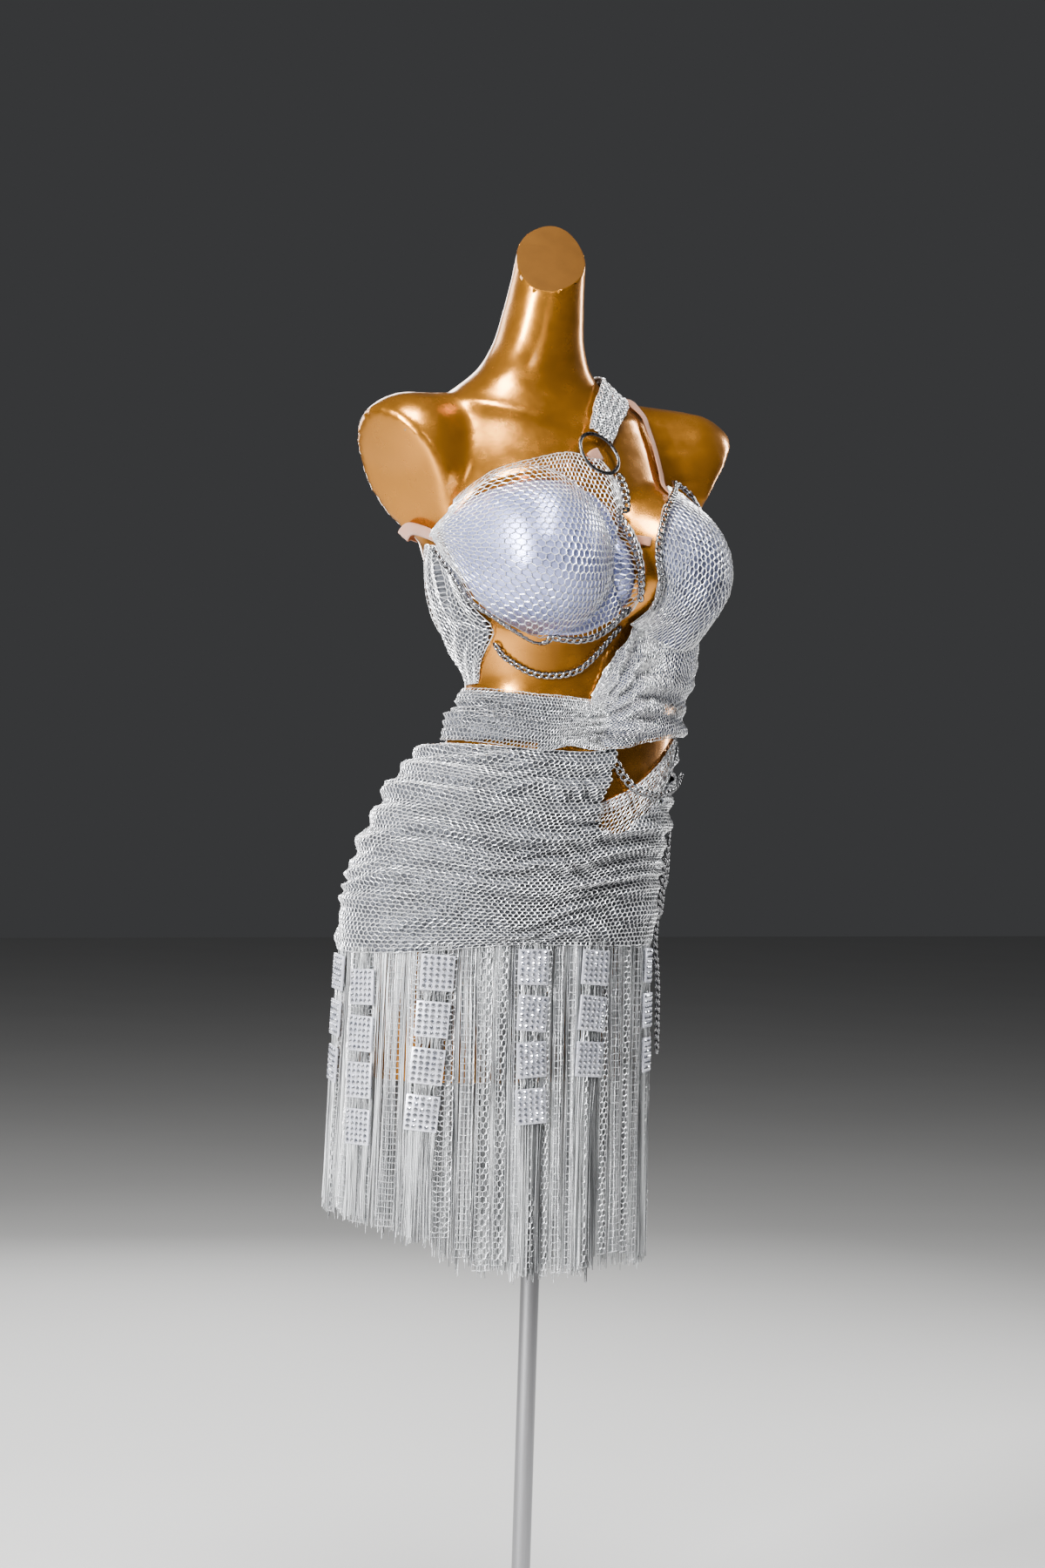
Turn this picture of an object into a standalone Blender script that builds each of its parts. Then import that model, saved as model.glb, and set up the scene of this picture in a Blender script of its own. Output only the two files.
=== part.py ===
"""Chain-net dance dress on a limbless dress form with a pole stand. Metres, +Z up, the form facing -Y."""
import math

import bmesh
import bpy
import numpy as np
from mathutils import Vector
from mathutils.bvhtree import BVHTree

MM = 0.001

# The form's horizontal sections, from its flat underside up to the neck.
SECTION_COLUMNS = ("z", "centre_x", "centre_y", "half_width", "front", "back")
SECTIONS = np.array([
    (0.700, -0.052, 0.006, 0.150, 0.095, 0.100),
    (0.760, -0.052, 0.006, 0.160, 0.100, 0.110),
    (0.820, -0.050, 0.006, 0.166, 0.102, 0.117),
    (0.860, -0.047, 0.005, 0.167, 0.102, 0.118),
    (0.900, -0.042, 0.004, 0.164, 0.101, 0.113),
    (0.940, -0.032, 0.003, 0.158, 0.099, 0.105),
    (0.980, -0.016, 0.002, 0.148, 0.096, 0.096),
    (1.020, 0.004, 0.001, 0.136, 0.091, 0.088),
    (1.060, 0.022, 0.000, 0.125, 0.085, 0.081),
    (1.100, 0.030, 0.000, 0.120, 0.082, 0.080),
    (1.140, 0.024, 0.002, 0.125, 0.086, 0.084),
    (1.180, 0.014, 0.004, 0.133, 0.092, 0.089),
    (1.220, 0.006, 0.006, 0.141, 0.096, 0.093),
    (1.260, 0.000, 0.010, 0.147, 0.097, 0.095),
    (1.300, -0.004, 0.014, 0.148, 0.093, 0.094),
    (1.340, -0.007, 0.018, 0.143, 0.083, 0.088),
    (1.375, -0.007, 0.020, 0.132, 0.070, 0.078),
    (1.400, -0.012, 0.020, 0.118, 0.058, 0.066),
    (1.418, -0.016, 0.019, 0.090, 0.050, 0.057),
    (1.436, -0.018, 0.017, 0.066, 0.047, 0.051),
    (1.462, -0.018, 0.012, 0.050, 0.044, 0.047),
    (1.500, -0.017, 0.006, 0.042, 0.041, 0.042),
    (1.550, -0.016, -0.002, 0.036, 0.038, 0.037),
    (1.640, -0.015, -0.009, 0.031, 0.034, 0.033),
])
SQUARENESS = 2.25
BUST_CENTRE_X, BUST_CENTRE_Z, BUST_RADIUS, BUST_DEPTH = 0.082, 1.232, 0.078, 0.062
BUST_SHIFT = 0.010
BUST_RISE, BUST_ROUND, BUST_SPREAD = (1.15, 0.9), 0.9, 0.25

# The shoulder stumps: an ellipsoid on each side, cut off by a tilted plane.
STUMP_COLUMNS = ("side", "centre_x", "centre_z", "cut_x")
STUMPS = ((-1, 0.162, 1.330, 0.213), (1, 0.176, 1.341, 0.225))
STUMP_RADII = (0.076, 0.058, 0.076)
STUMP_TILT = math.radians(27)
STUMP_CENTRE_Y = 0.020
STUMP_CUT_Y, STUMP_CUT_Z, STUMP_CUT_TURN = 0.012, 1.390, -0.20
LEAST_FACING, NO_PLANE = 1e-3, 1e3
STUMP_BLEND = 0.016

# The neck's slanted oval end.
NECK_CUT_POINT = (-0.016, -0.003, 1.560)
NECK_CUT_NORMAL = (-0.36, -0.68, 0.64)

# The stand.
POLE_RADIUS = 0.010
SOCKET_DEPTH = 0.060
SOCKET_GAP = 0.0004
FORM_BOTTOM = 0.700
BASE_RADIUS = 0.165
BASE_THICK = 0.009
COLLAR_RADIUS = 0.022
COLLAR_HEIGHT = 0.045

# Cloth.
NET_THICK = 1.2 * MM
CUP_THICK = 2.0 * MM
ELASTIC_THICK = 1.2 * MM
ON_FORM = 0.9 * MM


def curve_at(table, at, column):
    """Cubic through one column of a table, over its first column."""
    knots, values = table[:, 0], table[:, column]
    tangents = np.gradient(values, knots)
    at = np.clip(at, knots[0], knots[-1])
    i = np.clip(np.searchsorted(knots, at, side="right") - 1, 0, len(knots) - 2)
    span = knots[i + 1] - knots[i]
    t = (at - knots[i]) / span
    return (
        (1 + 2 * t) * (1 - t) ** 2 * values[i] + t * (1 - t) ** 2 * span * tangents[i]
        + t * t * (3 - 2 * t) * values[i + 1] + t * t * (t - 1) * span * tangents[i + 1]
    )


def smooth_max(a, b, width):
    h = np.clip(0.5 + 0.5 * (a - b) / width, 0, 1)
    return b + (a - b) * h + width * h * (1 - h)


def stump_reach(stump, cx, cy, c, s, z):
    """How far a shoulder stump reaches from the section's centre, towards each angle."""
    side, centre_x, centre_z, cut_x = stump
    rx, ry, rz = STUMP_RADII
    ox, oy = cx - side * centre_x, cy - STUMP_CENTRE_Y
    level = 1 - ((z - centre_z) / rz) ** 2
    a = (c / rx) ** 2 + (s / ry) ** 2
    b = ox * c / rx ** 2 + oy * s / ry ** 2
    disc = b * b - a * ((ox / rx) ** 2 + (oy / ry) ** 2 - level)
    lump = np.where(disc > 0, (-b + np.sqrt(np.maximum(disc, 0))) / a, 0.0)
    nx, ny, nz = side * math.cos(STUMP_TILT), STUMP_CUT_TURN, -math.sin(STUMP_TILT)
    facing = nx * c + ny * s
    clear = nx * (side * cut_x - cx) + ny * (STUMP_CUT_Y - cy) - nz * (z - STUMP_CUT_Z)
    plane = np.where(facing > LEAST_FACING, clear / np.where(facing > LEAST_FACING, facing, 1.0), NO_PLANE)
    return np.minimum(lump, plane)


def form_point(theta, z):
    """The form's surface point at an angle round its section (radians) and a height."""
    theta, z = np.broadcast_arrays(np.asarray(theta, float), np.asarray(z, float))
    cx, cy, half_width, front, back = (curve_at(SECTIONS, z, k) for k in range(1, 6))
    c, s = np.cos(theta), np.sin(theta)
    depth = np.where(s < 0, front, back)
    r = (np.abs(c / half_width) ** SQUARENESS + np.abs(s / depth) ** SQUARENESS) ** (-1 / SQUARENESS)
    for stump in STUMPS:
        r = smooth_max(r, stump_reach(stump, cx, cy, c, s, z), STUMP_BLEND)
    x, y = cx + r * c, cy + r * s
    for side in (-1, 1):
        rise = BUST_RADIUS * np.where(z > BUST_CENTRE_Z, *BUST_RISE)
        beside = (x - side * BUST_CENTRE_X - BUST_SHIFT) / BUST_RADIUS
        away = beside ** 2 + ((z - BUST_CENTRE_Z) / rise) ** 2
        lift = np.where(s < 0, BUST_DEPTH * np.clip(1 - away, 0, 1) ** BUST_ROUND, 0)
        x, y = x + side * BUST_SPREAD * lift, y - lift
    return np.stack([x, y, z], -1)


# The form's mesh: its levels, and its columns, which stand closer at the front and the stumps.
FORM_LEVELS = np.concatenate([
    np.linspace(0.70, 1.14, 11), np.linspace(1.16, 1.37, 13),
    (1.383, 1.393, 1.401, 1.408, 1.414, 1.423, 1.440, 1.470, 1.510, 1.560, 1.640),
])
FORM_COLUMNS = 50
TURN_TO_FRONT, TURN_TO_SIDES = 0.05, 0.10
FORM_TURN = np.linspace(0, 2 * math.pi, FORM_COLUMNS, endpoint=False)
FORM_TURN = (FORM_TURN - TURN_TO_FRONT * np.cos(FORM_TURN) * (1 - np.sin(FORM_TURN))
             - TURN_TO_SIDES * np.sin(2 * FORM_TURN))
FORM_GRID = form_point(FORM_TURN[None, :], FORM_LEVELS[:, None])


def facet_point(theta, z):
    """The point of the form's mesh, facets and all, so that what lies on it keeps its gap."""
    theta, z = np.broadcast_arrays(np.asarray(theta, float), np.asarray(z, float))
    turn = (theta - FORM_TURN[0]) % (2 * math.pi) + FORM_TURN[0]
    k = np.clip(np.searchsorted(FORM_TURN, turn, side="right") - 1, 0, FORM_COLUMNS - 1)
    n = (k + 1) % FORM_COLUMNS
    end = np.where(n == 0, FORM_TURN[0] + 2 * math.pi, FORM_TURN[n])
    s = ((turn - FORM_TURN[k]) / (end - FORM_TURN[k]))[..., None]
    i = np.clip(np.searchsorted(FORM_LEVELS, z, side="right") - 1, 0, len(FORM_LEVELS) - 2)
    t = ((z - FORM_LEVELS[i]) / (FORM_LEVELS[i + 1] - FORM_LEVELS[i]))[..., None]
    low, low_next = FORM_GRID[i, k], FORM_GRID[i, n]
    high, high_next = FORM_GRID[i + 1, k], FORM_GRID[i + 1, n]
    below = low + s * (low_next - low) + t * (high_next - low_next)
    above = low + t * (high - low) + s * (high_next - high)
    return np.where(t < s, below, above)


NORMAL_TURN, NORMAL_RISE = 0.03, 0.005


def form_normal(theta, z):
    """The outward direction, from points a little apart, so that it turns gently at a crease."""
    along = form_point(theta + NORMAL_TURN, z) - form_point(theta - NORMAL_TURN, z)
    up = form_point(theta, z + NORMAL_RISE) - form_point(theta, z - NORMAL_RISE)
    n = np.cross(along, up)
    return n / np.linalg.norm(n, axis=-1, keepdims=True)


def lay(theta_deg, z, height):
    """A point at a height over the form's surface."""
    theta = np.radians(theta_deg)
    return facet_point(theta, z) + form_normal(theta, z) * np.asarray(height)[..., None]


CUP_SHIFT, CUP_HALF_WIDE, CUP_HALF_HIGH = 0.012, 0.078, 0.072


def bust_swell(theta_deg, z):
    """1 at the top of a cup, falling to 0 round it."""
    p = form_point(np.radians(theta_deg), z)
    swell = 0
    for side in (-1, 1):
        middle = side * (BUST_CENTRE_X + CUP_SHIFT) + BUST_SHIFT
        q = ((p[..., 0] - middle) / CUP_HALF_WIDE) ** 2 + ((z - BUST_CENTRE_Z) / CUP_HALF_HIGH) ** 2
        swell = np.maximum(swell, np.where(p[..., 1] < 0, np.clip(1 - q, 0, 1), 0))
    return swell


# Materials


def material(name, colour, metallic, roughness):
    m = bpy.data.materials.new(name)
    m.use_nodes = True
    shader = next(n for n in m.node_tree.nodes if n.type == "BSDF_PRINCIPLED")
    shader.inputs["Base Color"].default_value = (*colour, 1)
    shader.inputs["Metallic"].default_value = metallic
    shader.inputs["Roughness"].default_value = roughness
    m.diffuse_color = (*colour, 1)
    return m


# Meshes


def add_object(name, bm, surface):
    bmesh.ops.recalc_face_normals(bm, faces=bm.faces)
    mesh = bpy.data.meshes.new(name)
    bm.to_mesh(mesh)
    bm.free()
    mesh.materials.append(surface)
    obj = bpy.data.objects.new(name, mesh)
    bpy.context.scene.collection.objects.link(obj)
    return obj


def add_wall(name, inner, outer, surface, tube=False):
    """A closed wall between two grids of points, with rims at its ends, and at its sides too if not a tube."""
    rows, cols = inner.shape[:2]
    bm = bmesh.new()
    grids = [[[bm.verts.new(p) for p in row] for row in grid] for grid in (inner, outer)]
    spans = cols if tube else cols - 1
    for r in range(rows - 1):
        for k in range(spans):
            for grid in grids:
                a, b = grid[r], grid[r + 1]
                n = (k + 1) % cols
                bm.faces.new((a[k], b[k], b[n], a[n]))
    for r in (0, rows - 1):
        for k in range(spans):
            n = (k + 1) % cols
            bm.faces.new((grids[0][r][k], grids[1][r][k], grids[1][r][n], grids[0][r][n]))
    if not tube:
        for k in (0, cols - 1):
            for r in range(rows - 1):
                a, b = grids
                bm.faces.new((a[r][k], a[r + 1][k], b[r + 1][k], b[r][k]))
    return add_object(name, bm, surface)


def spread(table, count):
    """Rows of a table resampled to a count by a cubic, evenly by row number."""
    table = np.asarray(table, float)
    numbered = np.column_stack([np.arange(len(table)), table])
    at = np.linspace(0, len(table) - 1, count)
    return np.column_stack([curve_at(numbered, at, k + 1) for k in range(table.shape[1])])


def panel_grid(edges, cols, rows):
    """Angles and heights over a panel, from its cross lines (theta and z at the top, then at the bottom)."""
    lines = spread(edges, cols)
    t = np.linspace(0, 1, rows)[:, None]
    theta = lines[:, 0] * (1 - t) + lines[:, 2] * t
    z = lines[:, 1] * (1 - t) + lines[:, 3] * t
    return theta, z


def add_panel(name, edges, cols, rows, height, thick, surface):
    """A sheet over the form: height takes theta, z, and the place across and down, for its inner side."""
    theta, z = panel_grid(edges, cols, rows)
    across, down = np.meshgrid(np.linspace(0, 1, cols), np.linspace(0, 1, rows))
    inner = height(theta, z, across, down)
    return add_wall(name, lay(theta, z, inner), lay(theta, z, inner + thick), surface)


FORM_QUADS = [
    (i * FORM_COLUMNS + k, i * FORM_COLUMNS + (k + 1) % FORM_COLUMNS,
     (i + 1) * FORM_COLUMNS + (k + 1) % FORM_COLUMNS, (i + 1) * FORM_COLUMNS + k)
    for i in range(len(FORM_LEVELS) - 1) for k in range(FORM_COLUMNS)
]
FORM_TREE = BVHTree.FromPolygons(
    FORM_GRID.reshape(-1, 3).tolist(),
    [(q[0], q[1], q[2]) for q in FORM_QUADS] + [(q[0], q[2], q[3]) for q in FORM_QUADS],
)
RAY_START = 0.03


def on_surface(theta_z_width):
    """A ribbon's middle line in space, from (theta, z, width)."""
    table = np.array(theta_z_width, float)
    return np.column_stack([form_point(np.radians(table[:, 0]), table[:, 1]), table[:, 2]])


def drop_on_form(point, outward, height):
    """The place at a height over the form's mesh, straight below a point."""
    start = Vector(point + outward * RAY_START)
    hit = FORM_TREE.ray_cast(start, Vector(-outward), 2 * RAY_START)[0]
    if hit is None:
        hit = FORM_TREE.find_nearest(Vector(point))[0]
    return np.array(hit) + outward * height


def add_ribbon(name, path, count, spans, height, thick, surface):
    """A ribbon along a line of (x, y, z, width) over the form. height takes a point and its place in it."""
    line = spread(path, count)
    centres = line[:, :3]
    normals = np.array([FORM_TREE.find_nearest(Vector(p))[1] for p in centres])
    padded = np.concatenate([normals[:1], normals, normals[-1:]])
    normals = padded[:-2] + padded[1:-1] + padded[2:]
    along = np.gradient(centres, axis=0)
    side = np.cross(normals, along)
    side /= np.linalg.norm(side, axis=1, keepdims=True)
    outward = np.cross(along, side)
    outward /= np.linalg.norm(outward, axis=1, keepdims=True)
    inner, outer = [], []
    for k in range(count):
        rows = []
        for across in np.linspace(0, 1, spans + 1):
            point = centres[k] + side[k] * line[k, 3] * (across - 0.5)
            rows.append(drop_on_form(point, outward[k], height(point, k / (count - 1), across)))
        inner.append(rows)
        outer.append([p + outward[k] * thick for p in rows])
    add_wall(name, np.array(inner), np.array(outer), surface)


def add_bar(name, centres, sideways, outward, half_wide, half_thick, surface, loop=False):
    """A four-sided bar along a line, flat side down: a chain's envelope."""
    bm = bmesh.new()
    rings = []
    for p, s, n in zip(centres, sideways, outward):
        corners = (p + s * half_wide, p + n * half_thick, p - s * half_wide, p - n * half_thick)
        rings.append([bm.verts.new(corner) for corner in corners])
    pairs = list(zip(rings, rings[1:])) + ([(rings[-1], rings[0])] if loop else [])
    for a, b in pairs:
        for k in range(4):
            n = (k + 1) % 4
            bm.faces.new((a[k], b[k], b[n], a[n]))
    if not loop:
        bm.faces.new(rings[0])
        bm.faces.new(rings[-1])
    return add_object(name, bm, surface)


CHAIN_HALF_WIDE = 3.4 * MM
CHAIN_HALF_THICK = 1.9 * MM


def chain_line(path, count, over=None):
    """A chain's middle line with its sideways and outward directions, from (theta, z, height in mm).

    Where it lies over a net, the net's height is added."""
    line = spread(path, count)
    theta, z = np.radians(line[:, 0]), line[:, 1]
    outward = form_normal(theta, z)
    height = line[:, 2] * MM
    if over:
        height = height + over(line[:, 0], z, np.ones_like(z), np.zeros_like(z)) + NET_THICK
    centres = lay(line[:, 0], z, height)
    along = np.gradient(centres, axis=0)
    along /= np.linalg.norm(along, axis=1, keepdims=True)
    sideways = np.cross(outward, along)
    sideways /= np.linalg.norm(sideways, axis=1, keepdims=True)
    return centres, sideways, np.cross(along, sideways)


def add_chain(name, path, count, surface, over=None):
    add_bar(name, *chain_line(path, count, over), CHAIN_HALF_WIDE, CHAIN_HALF_THICK, surface)


# The dress form and its stand


def add_form(surface):
    bm = bmesh.new()
    rings = [[bm.verts.new(p) for p in level] for level in FORM_GRID]
    for a, b in zip(rings, rings[1:]):
        for k in range(FORM_COLUMNS):
            n = (k + 1) % FORM_COLUMNS
            bm.faces.new((a[k], a[n], b[n]))
            bm.faces.new((a[k], b[n], b[k]))
    bm.faces.new(rings[0])
    cut = bmesh.ops.bisect_plane(
        bm, geom=bm.verts[:] + bm.edges[:] + bm.faces[:], dist=1e-6,
        plane_co=NECK_CUT_POINT, plane_no=NECK_CUT_NORMAL, clear_outer=True,
    )
    bmesh.ops.holes_fill(bm, edges=[e for e in cut["geom_cut"] if isinstance(e, bmesh.types.BMEdge)])
    form = add_object("form_body", bm, surface)
    bore = add_cylinder("form_socket_cutter", POLE_RADIUS + SOCKET_GAP, FORM_BOTTOM - 0.02,
                        FORM_BOTTOM + SOCKET_DEPTH, surface)
    bore.hide_render = True
    bore.display_type = "WIRE"
    cutting = form.modifiers.new("socket", "BOOLEAN")
    cutting.operation = "DIFFERENCE"
    cutting.solver = "EXACT"
    cutting.object = bore
    return form


def add_cylinder(name, radius, low, high, surface, sides=32, edge=0.0):
    bm = bmesh.new()
    bmesh.ops.create_cone(bm, cap_ends=True, segments=sides, radius1=radius, radius2=radius,
                          depth=high - low)
    bmesh.ops.translate(bm, verts=bm.verts, vec=(0, 0, (low + high) / 2))
    if edge:
        rim = [e for e in bm.edges if all(abs(v.co.z - high) < 1e-6 for v in e.verts)]
        bmesh.ops.bevel(bm, geom=rim, offset=edge, segments=1, profile=0.5, affect="EDGES", material=-1)
    return add_object(name, bm, surface)


def add_stand(steel):
    add_cylinder("base_plate", BASE_RADIUS, 0.0, BASE_THICK, steel, sides=48, edge=2.5 * MM)
    pole_low = BASE_THICK + SOCKET_GAP
    add_cylinder("pole", POLE_RADIUS, pole_low, FORM_BOTTOM + SOCKET_DEPTH - SOCKET_GAP, steel)
    bm = bmesh.new()
    low, high = BASE_THICK + SOCKET_GAP, BASE_THICK + COLLAR_HEIGHT
    inside, chamfer = POLE_RADIUS + SOCKET_GAP, 3 * MM
    profile = [(inside, low), (COLLAR_RADIUS, low), (COLLAR_RADIUS, high - chamfer),
               (COLLAR_RADIUS - chamfer, high), (inside, high)]
    verts = [bm.verts.new((x, 0, z)) for x, z in profile]
    edges = [bm.edges.new((a, b)) for a, b in zip(verts, verts[1:] + verts[:1])]
    bmesh.ops.spin(bm, geom=verts + edges, cent=(0, 0, 0), axis=(0, 0, 1), angle=2 * math.pi,
                   steps=24, use_merge=True)
    bmesh.ops.remove_doubles(bm, verts=bm.verts, dist=1e-6)
    add_object("base_collar", bm, steel)


# The bodice. Cross lines run along each piece, each from its upper to its lower edge.

CUP_RIGHT = (
    (188.5, 1.262, 189.5, 1.240),
    (196, 1.275, 193, 1.214),
    (206, 1.290, 198, 1.196),
    (218, 1.300, 208, 1.182),
    (232, 1.305, 220, 1.170),
    (246, 1.305, 234, 1.168),
    (260, 1.302, 248, 1.170),
    (271, 1.295, 262, 1.178),
    (279, 1.280, 275, 1.188),
    (283, 1.250, 281.5, 1.198),
)
CUP_LEFT = (
    (294.5, 1.245, 294.5, 1.222),
    (298, 1.263, 296, 1.200),
    (305, 1.280, 300, 1.182),
    (314, 1.293, 309, 1.170),
    (324, 1.303, 320, 1.163),
    (332, 1.306, 331, 1.165),
    (339, 1.296, 341, 1.172),
    (345, 1.280, 349, 1.186),
    (350, 1.258, 354, 1.210),
    (353, 1.244, 355, 1.228),
)
NET_RIGHT = (
    (186.0, 1.2585, 187.0, 1.247),
    (196, 1.286, 190.5, 1.222),
    (206, 1.308, 195.5, 1.196),
    (215.5, 1.323, 205, 1.181),
    (230.5, 1.334, 218, 1.166),
    (244, 1.341, 232, 1.157),
    (257, 1.344, 247, 1.158),
    (270, 1.340, 262, 1.167),
    (282, 1.336, 275, 1.178),
    (289, 1.308, 283.5, 1.190),
    (286.5, 1.270, 285.0, 1.205),
)
SIDE_NET = (
    (177, 1.250, 184.4, 1.243),
    (173, 1.236, 185.6, 1.230),
    (168, 1.215, 188.5, 1.210),
    (165, 1.190, 193.0, 1.188),
    (164, 1.168, 202.0, 1.166),
    (165, 1.145, 196, 1.145),
    (167, 1.124, 188, 1.126),
    (169, 1.106, 183, 1.108),
)
DRAPE_LEFT = (
    (249.5, 1.098, 250, 1.074),
    (256, 1.116, 256, 1.058),
    (265, 1.136, 266, 1.044),
    (274, 1.150, 277, 1.043),
    (281.5, 1.164, 288, 1.046),
    (289.0, 1.190, 296, 1.050),
    (290.2, 1.215, 304, 1.053),
    (290.6, 1.236, 312, 1.055),
    (292.5, 1.252, 319, 1.057),
    (298, 1.272, 326, 1.059),
    (305, 1.289, 334, 1.060),
    (314, 1.302, 342, 1.061),
    (324, 1.315, 350, 1.061),
    (333, 1.318, 358, 1.061),
    (341, 1.299, 367, 1.060),
    (351, 1.275, 378, 1.059),
    (365, 1.249, 392, 1.058),
    (384, 1.225, 408, 1.058),
    (402, 1.185, 424, 1.058),
    (420, 1.150, 438, 1.059),
    (434, 1.118, 443, 1.066),
)
CUP_RISE = 6.0 * MM
LEFT_CUP_RISE = 9.0 * MM
CUP_ON_FORM = 1.9 * MM
LEFT_CUP_DROP = 0.4 * MM
RIGHT_CUP_LIFT = 0.9 * MM
RIGHT_NET_LIFT = 2.3 * MM
NET_ARMPIT_LIFT = 0.8 * MM
NET_OVER_CUP = 6.7 * MM


LEFT_STARTS, LEFT_FADE = 288.0, 6.0
CUP_EDGE_Z, CUP_EDGE_FADE, CUP_EDGE_SHARE = 1.26, 0.01, 1.2
NET_RISE_OVER_CUP, NET_LEFT_RISE = 0.8 * MM, 1.6 * MM
ARMPIT_ANGLE, ARMPIT_FADE = 204.0, 10.0
SIDE_NET_BULGE, SIDE_NET_LEAST = 8.0 * MM, 0.45
DRAPE_FOLDS = 5
DRAPE_FOLD_DEPTH = 5.0 * MM
DRAPE_FOLD_TOP, DRAPE_FOLD_SPAN, DRAPE_FADE, DRAPE_END_FADE = 1.17, 0.115, 0.10, 0.12
# Under the left cup the drape bridges the form: how far off, how high up, and between which angles.
BRIDGE_DEPTH, BRIDGE_Z, BRIDGE_HALF = 13.0 * MM, 1.147, 0.035
BRIDGE_START, BRIDGE_START_FADE, BRIDGE_STOP, BRIDGE_STOP_FADE = 285.0, 30.0, 400.0, 40.0
LEFT_ARMPIT_LIFT, LEFT_ARMPIT_Z, LEFT_ARMPIT_ANGLE = 5.0 * MM, 1.235, 330.0
LEFT_ARMPIT_RISE, LEFT_ARMPIT_FADE = 0.02, 8.0


def on_left(theta):
    return np.clip((theta - LEFT_STARTS) / LEFT_FADE, 0, 1)


def cup_height(theta, z, across, down):
    left = on_left(theta)
    rise = CUP_RISE + (LEFT_CUP_RISE - CUP_RISE) * left
    at_edge = CUP_EDGE_SHARE * np.clip((z - CUP_EDGE_Z) / CUP_EDGE_FADE, 0, 1)
    lift = RIGHT_CUP_LIFT * (1 - left) * (1 + at_edge)
    return CUP_ON_FORM - LEFT_CUP_DROP * left + lift + rise * bust_swell(theta, z)


def net_height(theta, z, across, down):
    left = on_left(theta)
    rise = CUP_RISE + NET_RISE_OVER_CUP + (LEFT_CUP_RISE + NET_LEFT_RISE - CUP_RISE) * left
    armpit = NET_ARMPIT_LIFT * np.clip((ARMPIT_ANGLE - theta) / ARMPIT_FADE, 0, 1)
    return NET_OVER_CUP + RIGHT_NET_LIFT * (1 - left) + armpit + rise * bust_swell(theta, z)


def side_net_height(theta, z, across, down):
    """The side net bridges the hollow of the waist. Its first cross line is its top end."""
    lower = SIDE_NET_LEAST + (1 - SIDE_NET_LEAST) * (1 - down)
    return ON_FORM + SIDE_NET_BULGE * np.sin(math.pi * across) ** 2 * lower


def drape_left_height(theta, z, across, down):
    """Folds fan out of the gather at the waist, and fade over the cup."""
    below = DRAPE_FOLD_TOP - z
    fade = np.clip(below / DRAPE_FADE, 0, 1) * np.clip(across / DRAPE_END_FADE, 0, 1)
    fold = 0.5 - 0.5 * np.cos(2 * math.pi * DRAPE_FOLDS * np.clip(below / DRAPE_FOLD_SPAN, 0, 1))
    bridge = BRIDGE_DEPTH * np.exp(-((z - BRIDGE_Z) / BRIDGE_HALF) ** 2)
    bridge = bridge * np.clip((theta - BRIDGE_START) / BRIDGE_START_FADE, 0, 1)
    bridge = bridge * np.clip((BRIDGE_STOP - theta) / BRIDGE_STOP_FADE, 0, 1)
    armpit = LEFT_ARMPIT_LIFT * np.clip((z - LEFT_ARMPIT_Z) / LEFT_ARMPIT_RISE, 0, 1)
    armpit = armpit * np.clip((theta - LEFT_ARMPIT_ANGLE) / LEFT_ARMPIT_FADE, 0, 1)
    return net_height(theta, z, across, down) + DRAPE_FOLD_DEPTH * fade * fold + bridge + armpit


def add_bodice(looks):
    satin, net = looks["satin"], looks["net"]
    add_panel("cup_right", CUP_RIGHT, 14, 10, cup_height, CUP_THICK, satin)
    add_panel("cup_left", CUP_LEFT, 13, 9, cup_height, CUP_THICK, satin)
    add_panel("bodice_net_right", NET_RIGHT, 18, 13, net_height, NET_THICK, net)
    add_panel("side_net_right", SIDE_NET, 11, 4, side_net_height, NET_THICK, net)
    add_panel("bodice_drape_left", DRAPE_LEFT, 28, 15, drape_left_height, NET_THICK, net)


# Elastic straps: (theta, z, width).

BRIDGE = ((285.6, 1.2600, 0.009), (288.6, 1.2590, 0.009), (291.8, 1.2575, 0.009))
BRA_BAND = (
    (186.6, 1.2525, 0.010),
    (181, 1.262, 0.013),
    (172, 1.266, 0.014),
    (150, 1.264, 0.014),
    (120, 1.260, 0.014),
    (90, 1.256, 0.014),
    (60, 1.252, 0.014),
    (30, 1.244, 0.014),
    (10, 1.238, 0.013),
    (-3.0, 1.235, 0.012),
)
STRAP_COLUMNS = ("x", "y", "z", "width")
STRAP_ELASTIC = (
    (0.106, -0.064, 1.311, 0.011),
    (0.103, -0.043, 1.332, 0.011),
    (0.102, -0.034, 1.355, 0.011),
    (0.100, -0.019, 1.385, 0.011),
    (0.099, 0.000, 1.403, 0.011),
    (0.098, 0.024, 1.409, 0.011),
    (0.096, 0.048, 1.405, 0.011),
    (0.088, 0.077, 1.381, 0.011),
    (0.084, 0.089, 1.348, 0.011),
    (0.083, 0.093, 1.318, 0.011),
    (0.083, 0.094, 1.290, 0.011),
    (0.082, 0.092, 1.259, 0.011),
)
STRAP_CROSS = ((275.5, 1.3430, 0.013), (280, 1.3470, 0.014), (285.5, 1.3500, 0.014))
STRAP_NET = (
    (0.0167, -0.0532, 1.3675, 0.030),
    (0.030, -0.042, 1.387, 0.034),
    (0.046, -0.028, 1.406, 0.038),
    (0.061, -0.006, 1.419, 0.040),
    (0.068, 0.021, 1.421, 0.040),
    (0.070, 0.050, 1.413, 0.040),
    (0.068, 0.076, 1.395, 0.038),
    (0.064, 0.091, 1.370, 0.035),
    (0.061, 0.099, 1.338, 0.032),
    (0.061, 0.101, 1.303, 0.030),
    (0.060, 0.099, 1.264, 0.030),
)
STRAP_PLEATS = 5
STRAP_PLEAT_DEPTH = 1.8 * MM
STRAP_NET_OFF = 3.9 * MM
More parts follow.
